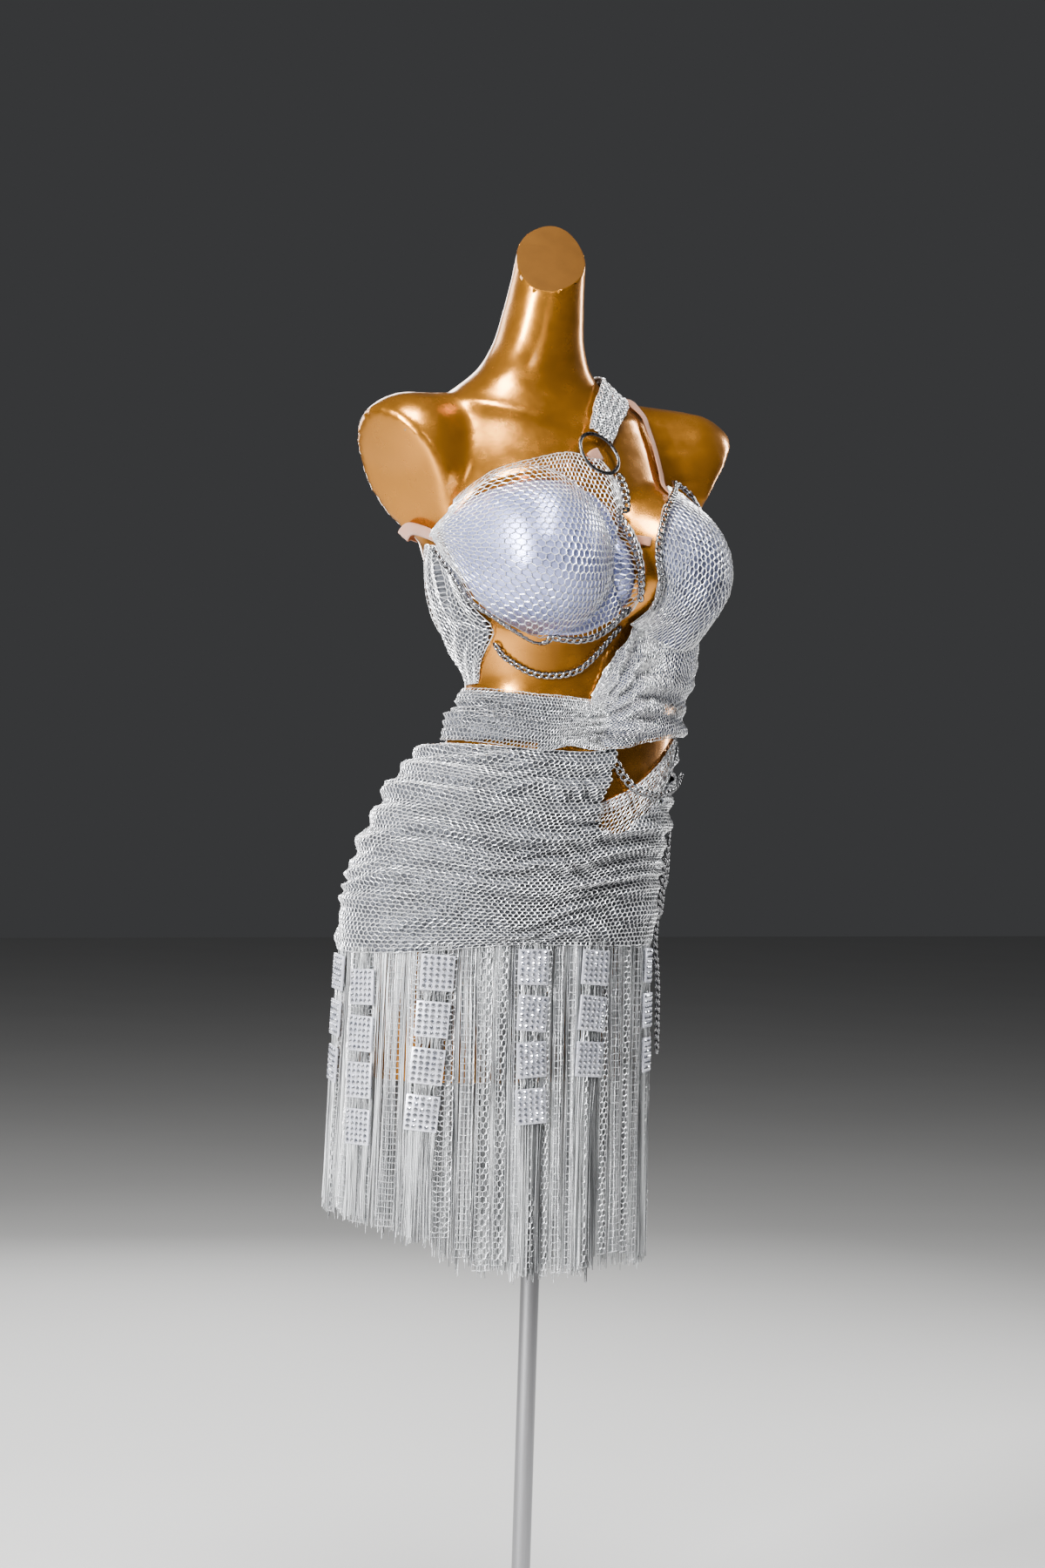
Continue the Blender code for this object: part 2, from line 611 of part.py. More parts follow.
RING_RADIUS = 0.0245
RING_WIRE = 1.7 * MM
RING_CENTRE = (279.5, 1.3455)
RING_LIFT = 10.1 * MM
RING_NORMAL = (0.10, -0.86, 0.50)


# Where the elastic stands higher: at the bends beside the stumps, under the arms, over the shoulder.
BEND_X, BEND_FADE = 0.095, 0.020
UNDERARM_Z, UNDERARM_FADE, UNDERARM_TOP = 1.215, 0.015, 1.3
UNDERARM_RIGHT, UNDERARM_LEFT = 6.9 * MM, 1.8 * MM
CREST_Z, CREST_FADE, CREST_X, CREST_LIFT = 1.305, 0.030, 0.06, 4.6 * MM
STRAP_CREST_Z, STRAP_CREST_LIFT = 1.320, 3.9 * MM


def ramp(value, start, fade):
    """0 below the start, 1 once the fade is past."""
    return min(max((value - start) / fade, 0), 1)


def elastic_height(point, along, across):
    """On the form, and a little higher over the bends round the shoulder stumps."""
    low = ramp(point[2], UNDERARM_Z, UNDERARM_FADE) * (point[2] < UNDERARM_TOP)
    lift = UNDERARM_RIGHT if point[0] < 0 else UNDERARM_LEFT
    armpit = lift * ramp(abs(point[0]), BEND_X, BEND_FADE) * low
    return ON_FORM + armpit + CREST_LIFT * ramp(point[2], CREST_Z, CREST_FADE) * (point[0] > CREST_X)


def strap_net_height(point, along, across):
    pleat = 0.5 - 0.5 * math.cos(2 * math.pi * STRAP_PLEATS * across)
    crest = STRAP_CREST_LIFT * ramp(point[2], STRAP_CREST_Z, CREST_FADE)
    return STRAP_NET_OFF + STRAP_PLEAT_DEPTH * pleat + crest


def ring_frame():
    """The ring's centre, with two directions across it and one through it."""
    middle = lay(np.array(RING_CENTRE[0]), np.array(RING_CENTRE[1]), np.array(RING_LIFT))
    through = np.array(RING_NORMAL) / np.linalg.norm(RING_NORMAL)
    across = np.cross((0, 0, 1), through)
    across /= np.linalg.norm(across)
    return middle, across, np.cross(through, across), through


def add_straps(looks):
    for name, path, count, spans in (
        ("bra_bridge", on_surface(BRIDGE), 3, 1), ("bra_band", on_surface(BRA_BAND), 28, 2),
        ("strap_elastic_left", STRAP_ELASTIC, 26, 1),
        ("strap_elastic_cross", on_surface(STRAP_CROSS), 4, 1),
    ):
        add_ribbon(name, path, count, spans, elastic_height, ELASTIC_THICK, looks["elastic"])
    add_ribbon("strap_net_left", STRAP_NET, 18, 2 * STRAP_PLEATS, strap_net_height, NET_THICK, looks["net"])
    middle, across, up, through = ring_frame()
    turn = np.linspace(0, 2 * math.pi, 28, endpoint=False)[:, None]
    spoke = np.cos(turn) * across + np.sin(turn) * up
    add_bar("neck_ring", middle + RING_RADIUS * spoke, spoke, np.broadcast_to(through, spoke.shape),
            RING_WIRE, RING_WIRE, looks["gunmetal"], loop=True)


# The waist and the hips

WAIST_LINES = (
    (247.0, 1.090, 247.0, 1.056),
    (241, 1.094, 241, 1.044),
    (230, 1.096, 230, 1.037),
    (216, 1.097, 216, 1.039),
    (201, 1.100, 201, 1.0425),
    (180, 1.102, 180, 1.0445),
    (150, 1.101, 150, 1.0450),
    (120, 1.100, 120, 1.0460),
    (100, 1.100, 100, 1.0460),
    (85, 1.100, 85, 1.0460),
)
WAIST_PUSH = np.array([
    (0.0, 1.8), (0.18, 5.0), (0.36, 3.0), (0.58, 8.5), (0.78, 6.0), (1.0, 5.2),
])

# One row for each fold line round the hips, ridges and valleys in turn: heights in metres at the right
# side, the front, the left side and the back, then how far it stands off the form in millimetres.
FOLD_COLUMNS = ("z_right", "z_front", "z_left", "z_back", "off_right", "off_front", "off_left", "off_back")
HIP_FOLDS = (
    (1.0420, 1.0380, 1.0590, 1.0480, 1.6, 1.6, 1.6, 1.6),
    (1.0270, 1.0230, 1.0400, 1.0320, 20, 9, 6, 9),
    (1.0180, 1.0120, 1.0260, 1.0200, 15, 5, 3, 5),
    (1.0080, 0.9990, 1.0140, 1.0080, 22, 12, 9, 11),
    (0.9970, 0.9870, 1.0010, 0.9960, 15, 7, 5, 7),
    (0.9850, 0.9730, 0.9900, 0.9840, 21, 13, 11, 12),
    (0.9730, 0.9610, 0.9790, 0.9720, 13, 8, 7, 8),
    (0.9600, 0.9460, 0.9660, 0.9590, 17, 13, 12, 12),
    (0.9480, 0.9330, 0.9550, 0.9470, 10, 8, 8, 8),
    (0.9350, 0.9190, 0.9430, 0.9340, 14, 12, 11, 11),
    (0.9220, 0.9080, 0.9330, 0.9220, 9, 8, 8, 8),
    (0.9080, 0.8950, 0.9210, 0.9090, 12, 11, 10, 10),
    (0.8930, 0.8840, 0.9100, 0.8950, 8, 7, 8, 7),
    (0.8780, 0.8710, 0.8950, 0.8810, 10, 9, 9, 9),
    (0.8620, 0.8590, 0.8760, 0.8660, 7, 7, 7, 7),
    (0.8450, 0.8500, 0.8580, 0.8490, 8, 8, 8, 8),
    (0.8280, 0.8420, 0.8400, 0.8330, 6.6, 6.4, 6.4, 6.4),
)
SIDE_ANGLES = (175.0, 250.0, 330.0, 450.0)
NOTCH = np.array([
    (279.0, 0.984), (290.0, 0.992), (303.0, 1.004), (320.0, 1.032), (330.0, 1.052), (338.0, 1.060),
])
NOTCH_START, NOTCH_END, NOTCH_RAMP = 277.0, 338.0, 1.0
FOLD_STEP, FOLD_FADE, EDGE_OFF = 1.5 * MM, 0.020, 1.6
HIP_COLUMNS = 43


def round_body(theta, values):
    """A value round the body from its values at the right side, front, left side and back."""
    theta = (theta - SIDE_ANGLES[0]) % 360 + SIDE_ANGLES[0]
    stations = np.array(SIDE_ANGLES + (SIDE_ANGLES[0] + 360,))
    levels = np.array(tuple(values) + (values[0],))
    i = np.clip(np.searchsorted(stations, theta, side="right") - 1, 0, 3)
    t = (theta - stations[i]) / (stations[i + 1] - stations[i])
    t = t * t * (3 - 2 * t)
    return levels[i] * (1 - t) + levels[i + 1] * t


def hip_top(theta):
    """The hip wrap's upper edge, cut down to a slanting opening on the left hip."""
    top = round_body(theta, HIP_FOLDS[0][:4])
    inside = (theta > NOTCH_START + NOTCH_RAMP) & (theta < NOTCH_END)
    return np.where(inside, np.minimum(top, curve_at(NOTCH, theta, 1)), top)


def hip_grid(theta):
    """Heights and stand-offs of the hip wrap's fold lines at each angle."""
    top = hip_top(theta)
    z, off = [], []
    for k, fold in enumerate(HIP_FOLDS):
        level = np.minimum(round_body(theta, fold[:4]), top - k * FOLD_STEP)
        full = np.clip((top - level) / FOLD_FADE, 0, 1) if k else np.zeros_like(theta)
        z.append(level)
        off.append((EDGE_OFF + (round_body(theta, fold[4:]) - EDGE_OFF) * full) * MM)
    return np.array(z), np.array(off)


WAIST_LEAST, WAIST_END_FADE, WAIST_HEM = 1.0, 0.08, 0.9
WAIST_SIDE_SHARE, WAIST_SIDE_ANGLE, WAIST_SIDE_SPAN = 0.5, 180.0, 25.0


def waist_height(theta, z, across, down):
    """The waist band's folds, fuller at the right side, flat at its end under the drape."""
    free = np.maximum(np.clip(across / WAIST_END_FADE, 0, 1), down > WAIST_HEM)
    push = curve_at(WAIST_PUSH, down, 1)
    fuller = 1 + WAIST_SIDE_SHARE * np.exp(-((theta - WAIST_SIDE_ANGLE) / WAIST_SIDE_SPAN) ** 2)
    push = np.where(down > WAIST_HEM, push, push * fuller)
    return (WAIST_LEAST + (push - WAIST_LEAST) * free) * MM


def add_hips(looks):
    net = looks["net"]
    add_panel("waist_band", WAIST_LINES, 20, 6, waist_height, NET_THICK, net)
    near = np.linspace(NOTCH_START + 2, NOTCH_END + 4, 12)
    rest = np.linspace(NOTCH_END + 4, NOTCH_START + 360, HIP_COLUMNS - 11)[1:]
    theta = np.concatenate([near, rest])
    z, off = hip_grid(theta)
    theta = np.broadcast_to(theta, z.shape)
    add_wall("hip_wrap", lay(theta, z, off), lay(theta, z, off + NET_THICK), net, tube=True)


# The skirt

HEM = (0.560, 0.505, 0.505, 0.520)
FLARE = (14.0, 9.0, 5.0, 9.0)
ROOT_HIGH = 12 * MM
ROOT_LOW = 4 * MM
ROOT_OFF = 1.8 * MM
ROOT_THICK = 1.2 * MM
STRAND_GAP = 2.2 * MM
STRAND_TAPER = 0.12
HEM_RAGGED = (-0.004, 0.010)
STRAND_WIDTHS = (3.2, 16.0, 3.2, 3.2, 14.0, 3.2, 18.0, 3.2)
FRINGES = (
    ("fringe_right", 141, 219), ("fringe_front", 219.6, 299.4),
    ("fringe_left", 300, 379.4), ("fringe_back", 380, 500.4),
)


def outward_level(theta_deg, z):
    n = form_normal(np.radians(theta_deg), z) * (1, 1, 0)
    return n / np.linalg.norm(n, axis=-1, keepdims=True)


def skirt_top(theta):
    return round_body(theta, HIP_FOLDS[-1][:4])


def hang(theta, z, height):
    """A point of the skirt: straight down from the hips' lower edge, a little flared."""
    top = skirt_top(theta)
    root = lay(theta, np.maximum(z, top - ROOT_LOW), height)
    drop = np.clip((top - z) / (top - round_body(theta, HEM)), 0, 1)
    p = root + outward_level(theta, top) * (round_body(theta, FLARE) * MM * drop)[..., None]
    p[..., 2] = z
    return p


def slots(start, stop):
    """Angles of the strands' two sides along an arc, from their widths and the gap between them."""
    fine = np.linspace(start, stop, 400)
    p = lay(fine, skirt_top(fine), np.full_like(fine, ROOT_OFF))
    length = np.concatenate([[0], np.cumsum(np.linalg.norm(np.diff(p, axis=0), axis=1))])
    sides, at, k = [0.0], STRAND_GAP, 0
    while at + STRAND_WIDTHS[k % len(STRAND_WIDTHS)] * MM + STRAND_GAP < length[-1]:
        width = STRAND_WIDTHS[k % len(STRAND_WIDTHS)] * MM
        sides += [at, at + width]
        at += width + STRAND_GAP
        k += 1
    sides.append(sides[-1] + STRAND_GAP)
    return np.interp(sides, length, fine)


def add_fringe(name, start, stop, surface, number):
    """Strands hanging from one narrow strip, as one solid."""
    rng = np.random.default_rng(number)
    theta = slots(start, stop)
    low_z, high_z = skirt_top(theta) - ROOT_LOW, skirt_top(theta) + ROOT_HIGH
    bm = bmesh.new()
    rows = {}
    for side, height in (("in", ROOT_OFF), ("out", ROOT_OFF + ROOT_THICK)):
        for end, z in (("low", low_z), ("high", high_z)):
            points = lay(theta, z, np.full_like(theta, height))
            rows[side, end] = [bm.verts.new(p) for p in points]
    spans = len(theta) - 1
    for k in range(spans):
        n = k + 1
        for side in ("in", "out"):
            low, high = rows[side, "low"], rows[side, "high"]
            bm.faces.new((low[k], low[n], high[n], high[k]))
        for end in ("high", "low"):
            if end == "low" and k % 2:
                continue
            a, b = rows["in", end], rows["out", end]
            bm.faces.new((a[k], b[k], b[n], a[n]))
    for k in (0, spans):
        end = (("in", "low"), ("out", "low"), ("out", "high"), ("in", "high"))
        bm.faces.new([rows[key][k] for key in end])
    for k in range(1, spans, 2):
        tip_z = round_body(theta[k], HEM) + rng.uniform(*HEM_RAGGED)
        ends = []
        for angle in (theta[k], theta[k + 1]):
            middle = (theta[k] + theta[k + 1]) / 2
            narrow = angle + (middle - angle) * STRAND_TAPER
            for height in (ROOT_OFF, ROOT_OFF + ROOT_THICK):
                p = hang(np.array([narrow]), np.array([tip_z]), np.array([height]))[0]
                ends.append(bm.verts.new(p))
        a, b, c, d = ends[0], ends[1], ends[3], ends[2]
        inside, outside = rows["in", "low"], rows["out", "low"]
        top = (inside[k], outside[k], outside[k + 1], inside[k + 1])
        tip = (a, b, c, d)
        for i in range(4):
            j = (i + 1) % 4
            bm.faces.new((top[i], top[j], tip[j], tip[i]))
        bm.faces.new(tip)
    return add_object(name, bm, surface)


# Crystal-block strips: name, angle at the top and the bottom, drop below the wrap's edge, number of blocks.
STONE_STRIPS = (
    ("stone_strip_1", 169, 167, 0.000, 3),
    ("stone_strip_2", 186, 187.5, 0.012, 4),
    ("stone_strip_3", 213, 208, -0.004, 4),
    ("stone_strip_4", 255, 255, 0.000, 4),
    ("stone_strip_5", 297, 291, 0.000, 3),
    ("stone_strip_6", 335, 334, 0.000, 3),
    ("stone_strip_7", 376, 377, 0.002, 3),
    ("stone_strip_8", 422, 420, 0.004, 4),
    ("stone_strip_9", 461, 463, 0.000, 4),
    ("stone_strip_10", 497, 496, 0.006, 3),
)
BLOCK_WIDE, BLOCK_HIGH, BLOCK_THICK = 0.034, 0.036, 2.6 * MM
BLOCK_GAP = 0.011
TIE_WIDE, TIE_THICK = 0.022, 1.2 * MM
STRIP_ROOT_OFF, STRIP_OFF = 3.5 * MM, 6.2 * MM
STRIP_ROOT_HIGH, STRIP_ROOT_LOW, STRIP_ROOT_THICK = 6 * MM, 2 * MM, 1.0 * MM
FIRST_BLOCK, BLOCK_STEP, STRIP_LEAN_SPAN = 5 * MM, 0.3 * MM, 0.19


def strip_rows(blocks, drop):
    """(distance below the edge, width, thickness, how far out) down a strip."""
    ends = (-STRIP_ROOT_HIGH, STRIP_ROOT_LOW)
    rows = [(below, TIE_WIDE, STRIP_ROOT_THICK, STRIP_ROOT_OFF) for below in ends]
    start = max(drop, 0) + FIRST_BLOCK
    for k in range(blocks):
        low = start + BLOCK_HIGH
        rows += [(start - BLOCK_STEP, TIE_WIDE, TIE_THICK, STRIP_OFF)]
        rows += [(below, BLOCK_WIDE, BLOCK_THICK, STRIP_OFF) for below in (start, low)]
        rows += [(low + BLOCK_STEP, TIE_WIDE, TIE_THICK, STRIP_OFF)]
        start = low + BLOCK_GAP
    return np.array(rows)


def add_stone_strip(name, top_angle, low_angle, drop, blocks, surface):
    rows = strip_rows(blocks, drop)
    edge = skirt_top(np.array([float(top_angle)]))[0]
    z = edge - rows[:, 0]
    t = np.clip(rows[:, 0] / STRIP_LEAN_SPAN, 0, 1)
    theta = top_angle + (low_angle - top_angle) * t
    middle = hang(theta, z, rows[:, 3])
    out = outward_level(theta, np.full_like(z, edge))
    along = np.stack([-out[:, 1], out[:, 0], np.zeros(len(z))], -1)
    half = along * rows[:, 1:2] / 2
    inner = np.stack([middle - half, middle + half], 1)
    outer = inner + (out * rows[:, 2:3])[:, None, :]
    add_wall(name, inner, outer, surface)


def add_skirt(looks):
    for number, (name, start, stop) in enumerate(FRINGES):
        add_fringe(name, start, stop, looks["thread"], number)
    for strip in STONE_STRIPS:
        add_stone_strip(*strip, looks["stone"])


# Chains: (theta, z, height of the middle line over the form in mm).

CHAIN_NECK_RIGHT = (
    (288.8, 1.323, 3.2), (289.2, 1.307, 3.8), (287.2, 1.285, 4.6), (285.6, 1.262, 3.4), (285.0, 1.236, 3.4),
    (285.0, 1.212, 3.3), (285.2, 1.203, 3.1),
)
CHAIN_DRAPE_EDGE = (
    (290.6, 1.196, 3.1), (291.6, 1.215, 3.1), (291.4, 1.236, 3.1), (294.5, 1.256, 3.1), (300, 1.274, 3.1),
    (307, 1.289, 3.1), (316, 1.302, 3.5), (326, 1.313, 4.6), (333, 1.315, 5.0), (341, 1.296, 3.9),
    (351, 1.272, 3.6), (365, 1.246, 3.4), (384, 1.222, 3.1), (402, 1.182, 3.1), (419, 1.148, 3.1),
)
CHAIN_UNDERBUST = (
    (187.3, 1.239, 3.0), (190.5, 1.224, 3.0), (195.5, 1.200, 3.0), (205, 1.184, 3.6), (218, 1.167, 5.2),
    (232, 1.1565, 5.8), (247, 1.1570, 5.8), (262, 1.168, 4.4), (272, 1.179, 3.1), (281, 1.190, 3.1),
)
CHAIN_SWAG = (
    (200, 1.148, 3.0), (204, 1.133, 3.0), (217.5, 1.117, 2.8), (238, 1.121, 2.8), (254, 1.138, 2.8),
    (266.5, 1.155, 2.8), (277, 1.169, 2.8),
)
CHAIN_HIP = (
    (281, 1.030, 2.8), (288, 1.018, 3.4), (298.5, 1.004, 8), (307, 0.998, 15), (317, 0.997, 17),
    (328, 1.006, 17), (338, 1.020, 14),
)
CHAIN_LONG = (
    (345, 0.930, 13.3), (344, 0.900, 12.0), (343.5, 0.868, 11.2), (343.5, 0.840, 12.6), (344, 0.800, 20.5),
    (344.5, 0.760, 26.5), (345, 0.728, 32),
)
LOOP_FULLNESS, LOOP_OUT, LOOP_OUT_STEP = 0.6, 2.2, 3.0
# Loops of chain hanging at the left hip: angle of each end, height of the ends and of the lowest point,
# and how far they stand off the form in millimetres.
TASSEL_LOOPS = (
    ("tassel_chain_1", 349.0, 356.0, 0.950, 0.868, 13.8),
    ("tassel_chain_2", 359.5, 368.0, 0.944, 0.838, 14.2),
    ("tassel_chain_3", 351.5, 364.5, 0.966, 0.895, 15.8),
)


def add_chains(looks):
    chrome = looks["chrome"]
    for name, path, count, over in (
        ("chain_neck_right", CHAIN_NECK_RIGHT, 15, net_height),
        ("chain_drape_edge", CHAIN_DRAPE_EDGE, 38, drape_left_height),
        ("chain_underbust", CHAIN_UNDERBUST, 24, net_height),
        ("chain_swag", CHAIN_SWAG, 20, None), ("chain_hip", CHAIN_HIP, 14, None),
        ("chain_long", CHAIN_LONG, 12, None),
    ):
        add_chain(name, path, count, chrome, over)
    for k, (name, first, last, high, low, height) in enumerate(TASSEL_LOOPS):
        turn = np.linspace(0, math.pi, 15)
        theta = first + (last - first) * (0.5 - 0.5 * np.cos(turn))
        z = high - (high - low) * np.sin(turn) ** LOOP_FULLNESS
        line = np.column_stack([theta, z, height + (LOOP_OUT + LOOP_OUT_STEP * k) * np.sin(turn)])
        add_chain(name, line, 15, chrome)


def main():
    for obj in list(bpy.data.objects):
        bpy.data.objects.remove(obj)
    looks = {
        "gold": material("gold_lacquer", (0.72, 0.42, 0.12), 0.75, 0.25),
        "steel": material("brushed_steel", (0.62, 0.62, 0.64), 1.0, 0.25),
        "satin": material("lavender_satin", (0.66, 0.68, 0.82), 0.1, 0.35),
        "net": material("silver_net", (0.78, 0.80, 0.84), 0.5, 0.35),
        "elastic": material("nude_elastic", (0.62, 0.38, 0.28), 0.0, 0.6),
        "thread": material("silver_thread", (0.66, 0.68, 0.72), 0.4, 0.4),
        "stone": material("stone_trim", (0.82, 0.83, 0.90), 0.4, 0.2),
        "chrome": material("dark_chrome", (0.45, 0.46, 0.48), 1.0, 0.2),
        "gunmetal": material("gunmetal", (0.25, 0.25, 0.26), 1.0, 0.3),
    }
    add_form(looks["gold"])
    add_stand(looks["steel"])
    add_bodice(looks)
    add_straps(looks)
    add_hips(looks)
    add_skirt(looks)
    add_chains(looks)


main()
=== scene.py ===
"""Looks of a chain-net dance dress on its gold dress form and stand. Metres, +Z up, the form facing -Y."""
import math

import bmesh
import bpy
import numpy as np
from bpy.props import FloatProperty, FloatVectorProperty, IntProperty, PointerProperty
from mathutils import Matrix, Vector
from mathutils.bvhtree import BVHTree


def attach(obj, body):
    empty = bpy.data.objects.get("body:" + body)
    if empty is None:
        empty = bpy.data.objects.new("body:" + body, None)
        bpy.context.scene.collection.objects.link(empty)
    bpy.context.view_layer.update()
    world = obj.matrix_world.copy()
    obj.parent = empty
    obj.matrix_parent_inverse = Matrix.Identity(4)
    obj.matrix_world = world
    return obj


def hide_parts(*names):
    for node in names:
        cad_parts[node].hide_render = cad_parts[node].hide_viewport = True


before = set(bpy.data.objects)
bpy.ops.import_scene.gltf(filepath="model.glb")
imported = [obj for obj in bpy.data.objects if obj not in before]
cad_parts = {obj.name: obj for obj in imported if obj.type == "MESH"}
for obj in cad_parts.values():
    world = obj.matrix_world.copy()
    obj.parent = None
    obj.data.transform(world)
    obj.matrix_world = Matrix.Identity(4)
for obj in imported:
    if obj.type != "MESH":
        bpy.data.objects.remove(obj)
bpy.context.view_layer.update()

bl_info = {
    "name": "Chain-net dance dress",
    "version": (1, 0, 0),
    "blender": (4, 5, 0),
    "location": "View3D > Sidebar > Dress",
    "description": "Builds a draped net dance dress with chains, fringe and stones on a gold dress form",
    "category": "Object",
}

MM = 0.001
TAU = 2 * math.pi

# The form's horizontal sections: height, centre x and y, half width, depth in front and behind.
SECTIONS = np.array([
    (0.700, -0.052, 0.006, 0.150, 0.095, 0.100),
    (0.760, -0.052, 0.006, 0.160, 0.100, 0.110),
    (0.820, -0.050, 0.006, 0.166, 0.102, 0.117),
    (0.860, -0.047, 0.005, 0.167, 0.102, 0.118),
    (0.900, -0.042, 0.004, 0.164, 0.101, 0.113),
    (0.940, -0.032, 0.003, 0.158, 0.099, 0.105),
    (0.980, -0.016, 0.002, 0.148, 0.096, 0.096),
    (1.020, 0.004, 0.001, 0.136, 0.091, 0.088),
    (1.060, 0.022, 0.000, 0.125, 0.085, 0.081),
    (1.100, 0.030, 0.000, 0.120, 0.082, 0.080),
    (1.140, 0.024, 0.002, 0.125, 0.086, 0.084),
    (1.180, 0.014, 0.004, 0.133, 0.092, 0.089),
    (1.220, 0.006, 0.006, 0.141, 0.096, 0.093),
    (1.260, 0.000, 0.010, 0.147, 0.097, 0.095),
    (1.300, -0.004, 0.014, 0.148, 0.093, 0.094),
    (1.340, -0.007, 0.018, 0.143, 0.083, 0.088),
    (1.375, -0.007, 0.020, 0.132, 0.070, 0.078),
    (1.400, -0.012, 0.020, 0.118, 0.058, 0.066),
    (1.418, -0.016, 0.019, 0.090, 0.050, 0.057),
    (1.436, -0.018, 0.017, 0.066, 0.047, 0.051),
    (1.462, -0.018, 0.012, 0.050, 0.044, 0.047),
    (1.500, -0.017, 0.006, 0.042, 0.041, 0.042),
    (1.550, -0.016, -0.002, 0.036, 0.038, 0.037),
    (1.640, -0.015, -0.009, 0.031, 0.034, 0.033),
])
SQUARENESS = 2.25
BUST_CENTRE_X, BUST_CENTRE_Z, BUST_RADIUS, BUST_DEPTH = 0.082, 1.232, 0.078, 0.062
BUST_SHIFT = 0.010
BUST_ABOVE, BUST_BELOW, BUST_ROUND, BUST_APART = 1.15, 0.9, 0.9, 0.25
SWELL_SHIFT, SWELL_WIDE, SWELL_HIGH = 0.012, 0.078, 0.072

# The shoulder stumps: side, centre x and z, and where the end plane crosses.
STUMPS = ((-1, 0.162, 1.330, 0.213), (1, 0.176, 1.341, 0.225))
STUMP_RADII = (0.076, 0.058, 0.076)
STUMP_TILT = math.radians(27)
STUMP_LEAN = 0.20
STUMP_CENTRE_Y = 0.020
STUMP_CUT_Y, STUMP_CUT_Z = 0.012, 1.390
STUMP_BLEND = 0.016
FACING_LEAST, FAR = 1e-3, 1e3

NECK_CUT_POINT = (-0.016, -0.003, 1.560)
NECK_CUT_NORMAL = (-0.36, -0.68, 0.64)

# The stand.
POLE_RADIUS = 0.010
SOCKET_GAP = 0.0004
FORM_BOTTOM = 0.700
BASE_RADIUS = 0.165
BASE_THICK = 0.009
COLLAR_RADIUS = 0.022
COLLAR_HEIGHT = 0.045
POLE_IN_FORM = 0.055
SHARP_ANGLE = math.radians(40)

NET_THICK = 1.2 * MM
ON_FORM = 0.9 * MM


def curve_at(table, at, column):
    """Cubic through one column of a table, over its first column."""
    knots, values = table[:, 0], table[:, column]
    tangents = np.gradient(values, knots)
    at = np.clip(at, knots[0], knots[-1])
    i = np.clip(np.searchsorted(knots, at, side="right") - 1, 0, len(knots) - 2)
    span = knots[i + 1] - knots[i]
    t = (at - knots[i]) / span
    return (
        (1 + 2 * t) * (1 - t) ** 2 * values[i] + t * (1 - t) ** 2 * span * tangents[i]
        + t * t * (3 - 2 * t) * values[i + 1] + t * t * (t - 1) * span * tangents[i + 1]
    )


def smooth_max(a, b, width):
    h = np.clip(0.5 + 0.5 * (a - b) / width, 0, 1)
    return b + (a - b) * h + width * h * (1 - h)


def ease(a, b, x):
    """0 below a, 1 above b, with a smooth step between."""
    t = np.clip((x - a) / (b - a), 0, 1)
    return t * t * (3 - 2 * t)


def stump_plane(stump):
    """A point on a stump's end plane, and the plane's outward direction."""
    side, _, _, cut_x = stump
    normal = np.array((side * math.cos(STUMP_TILT), -STUMP_LEAN, -math.sin(STUMP_TILT)))
    return np.array((side * cut_x, STUMP_CUT_Y, STUMP_CUT_Z)), normal


def stump_reach(stump, cx, cy, c, s, z, cut):
    """How far a shoulder stump reaches from the section's centre, towards each angle."""
    side, centre_x, centre_z, _ = stump
    rx, ry, rz = STUMP_RADII
    ox, oy = cx - side * centre_x, cy - STUMP_CENTRE_Y
    level = 1 - ((z - centre_z) / rz) ** 2
    a = (c / rx) ** 2 + (s / ry) ** 2
    b = ox * c / rx ** 2 + oy * s / ry ** 2
    disc = b * b - a * ((ox / rx) ** 2 + (oy / ry) ** 2 - level)
    lump = np.where(disc > 0, (-b + np.sqrt(np.maximum(disc, 0))) / a, 0.0)
    if not cut:
        return lump
    point, (nx, ny, nz) = stump_plane(stump)
    facing = nx * c + ny * s
    clear = nx * (point[0] - cx) + ny * (point[1] - cy) - nz * (z - point[2])
    faces = facing > FACING_LEAST
    plane = np.where(faces, clear / np.where(faces, facing, 1.0), FAR)
    return np.minimum(lump, plane)


def body_reach(theta, z):
    """The section's middle, the angle's direction, and the body's reach along it without the stumps."""
    cx, cy, half_width, front, back = (curve_at(SECTIONS, z, k) for k in range(1, 6))
    c, s = np.cos(theta), np.sin(theta)
    depth = np.where(s < 0, front, back)
    reach = (np.abs(c / half_width) ** SQUARENESS + np.abs(s / depth) ** SQUARENESS) ** (-1 / SQUARENESS)
    return cx, cy, c, s, reach


def form_point(theta, z, cut=True):
    """The form's surface point at an angle round its section (radians) and a height."""
    theta, z = np.broadcast_arrays(np.asarray(theta, float), np.asarray(z, float))
    cx, cy, c, s, r = body_reach(theta, z)
    for stump in STUMPS:
        r = smooth_max(r, stump_reach(stump, cx, cy, c, s, z, cut), STUMP_BLEND)
    x, y = cx + r * c, cy + r * s
    for side in (-1, 1):
        rise = BUST_RADIUS * np.where(z > BUST_CENTRE_Z, BUST_ABOVE, BUST_BELOW)
        away = ((x - side * BUST_CENTRE_X - BUST_SHIFT) / BUST_RADIUS) ** 2 + ((z - BUST_CENTRE_Z) / rise) ** 2
        lift = np.where(s < 0, BUST_DEPTH * np.clip(1 - away, 0, 1) ** BUST_ROUND, 0)
        x, y = x + side * BUST_APART * lift, y - lift
    return np.stack([x, y, z], -1)


NORMAL_TURN, NORMAL_RISE = 0.03, 0.005


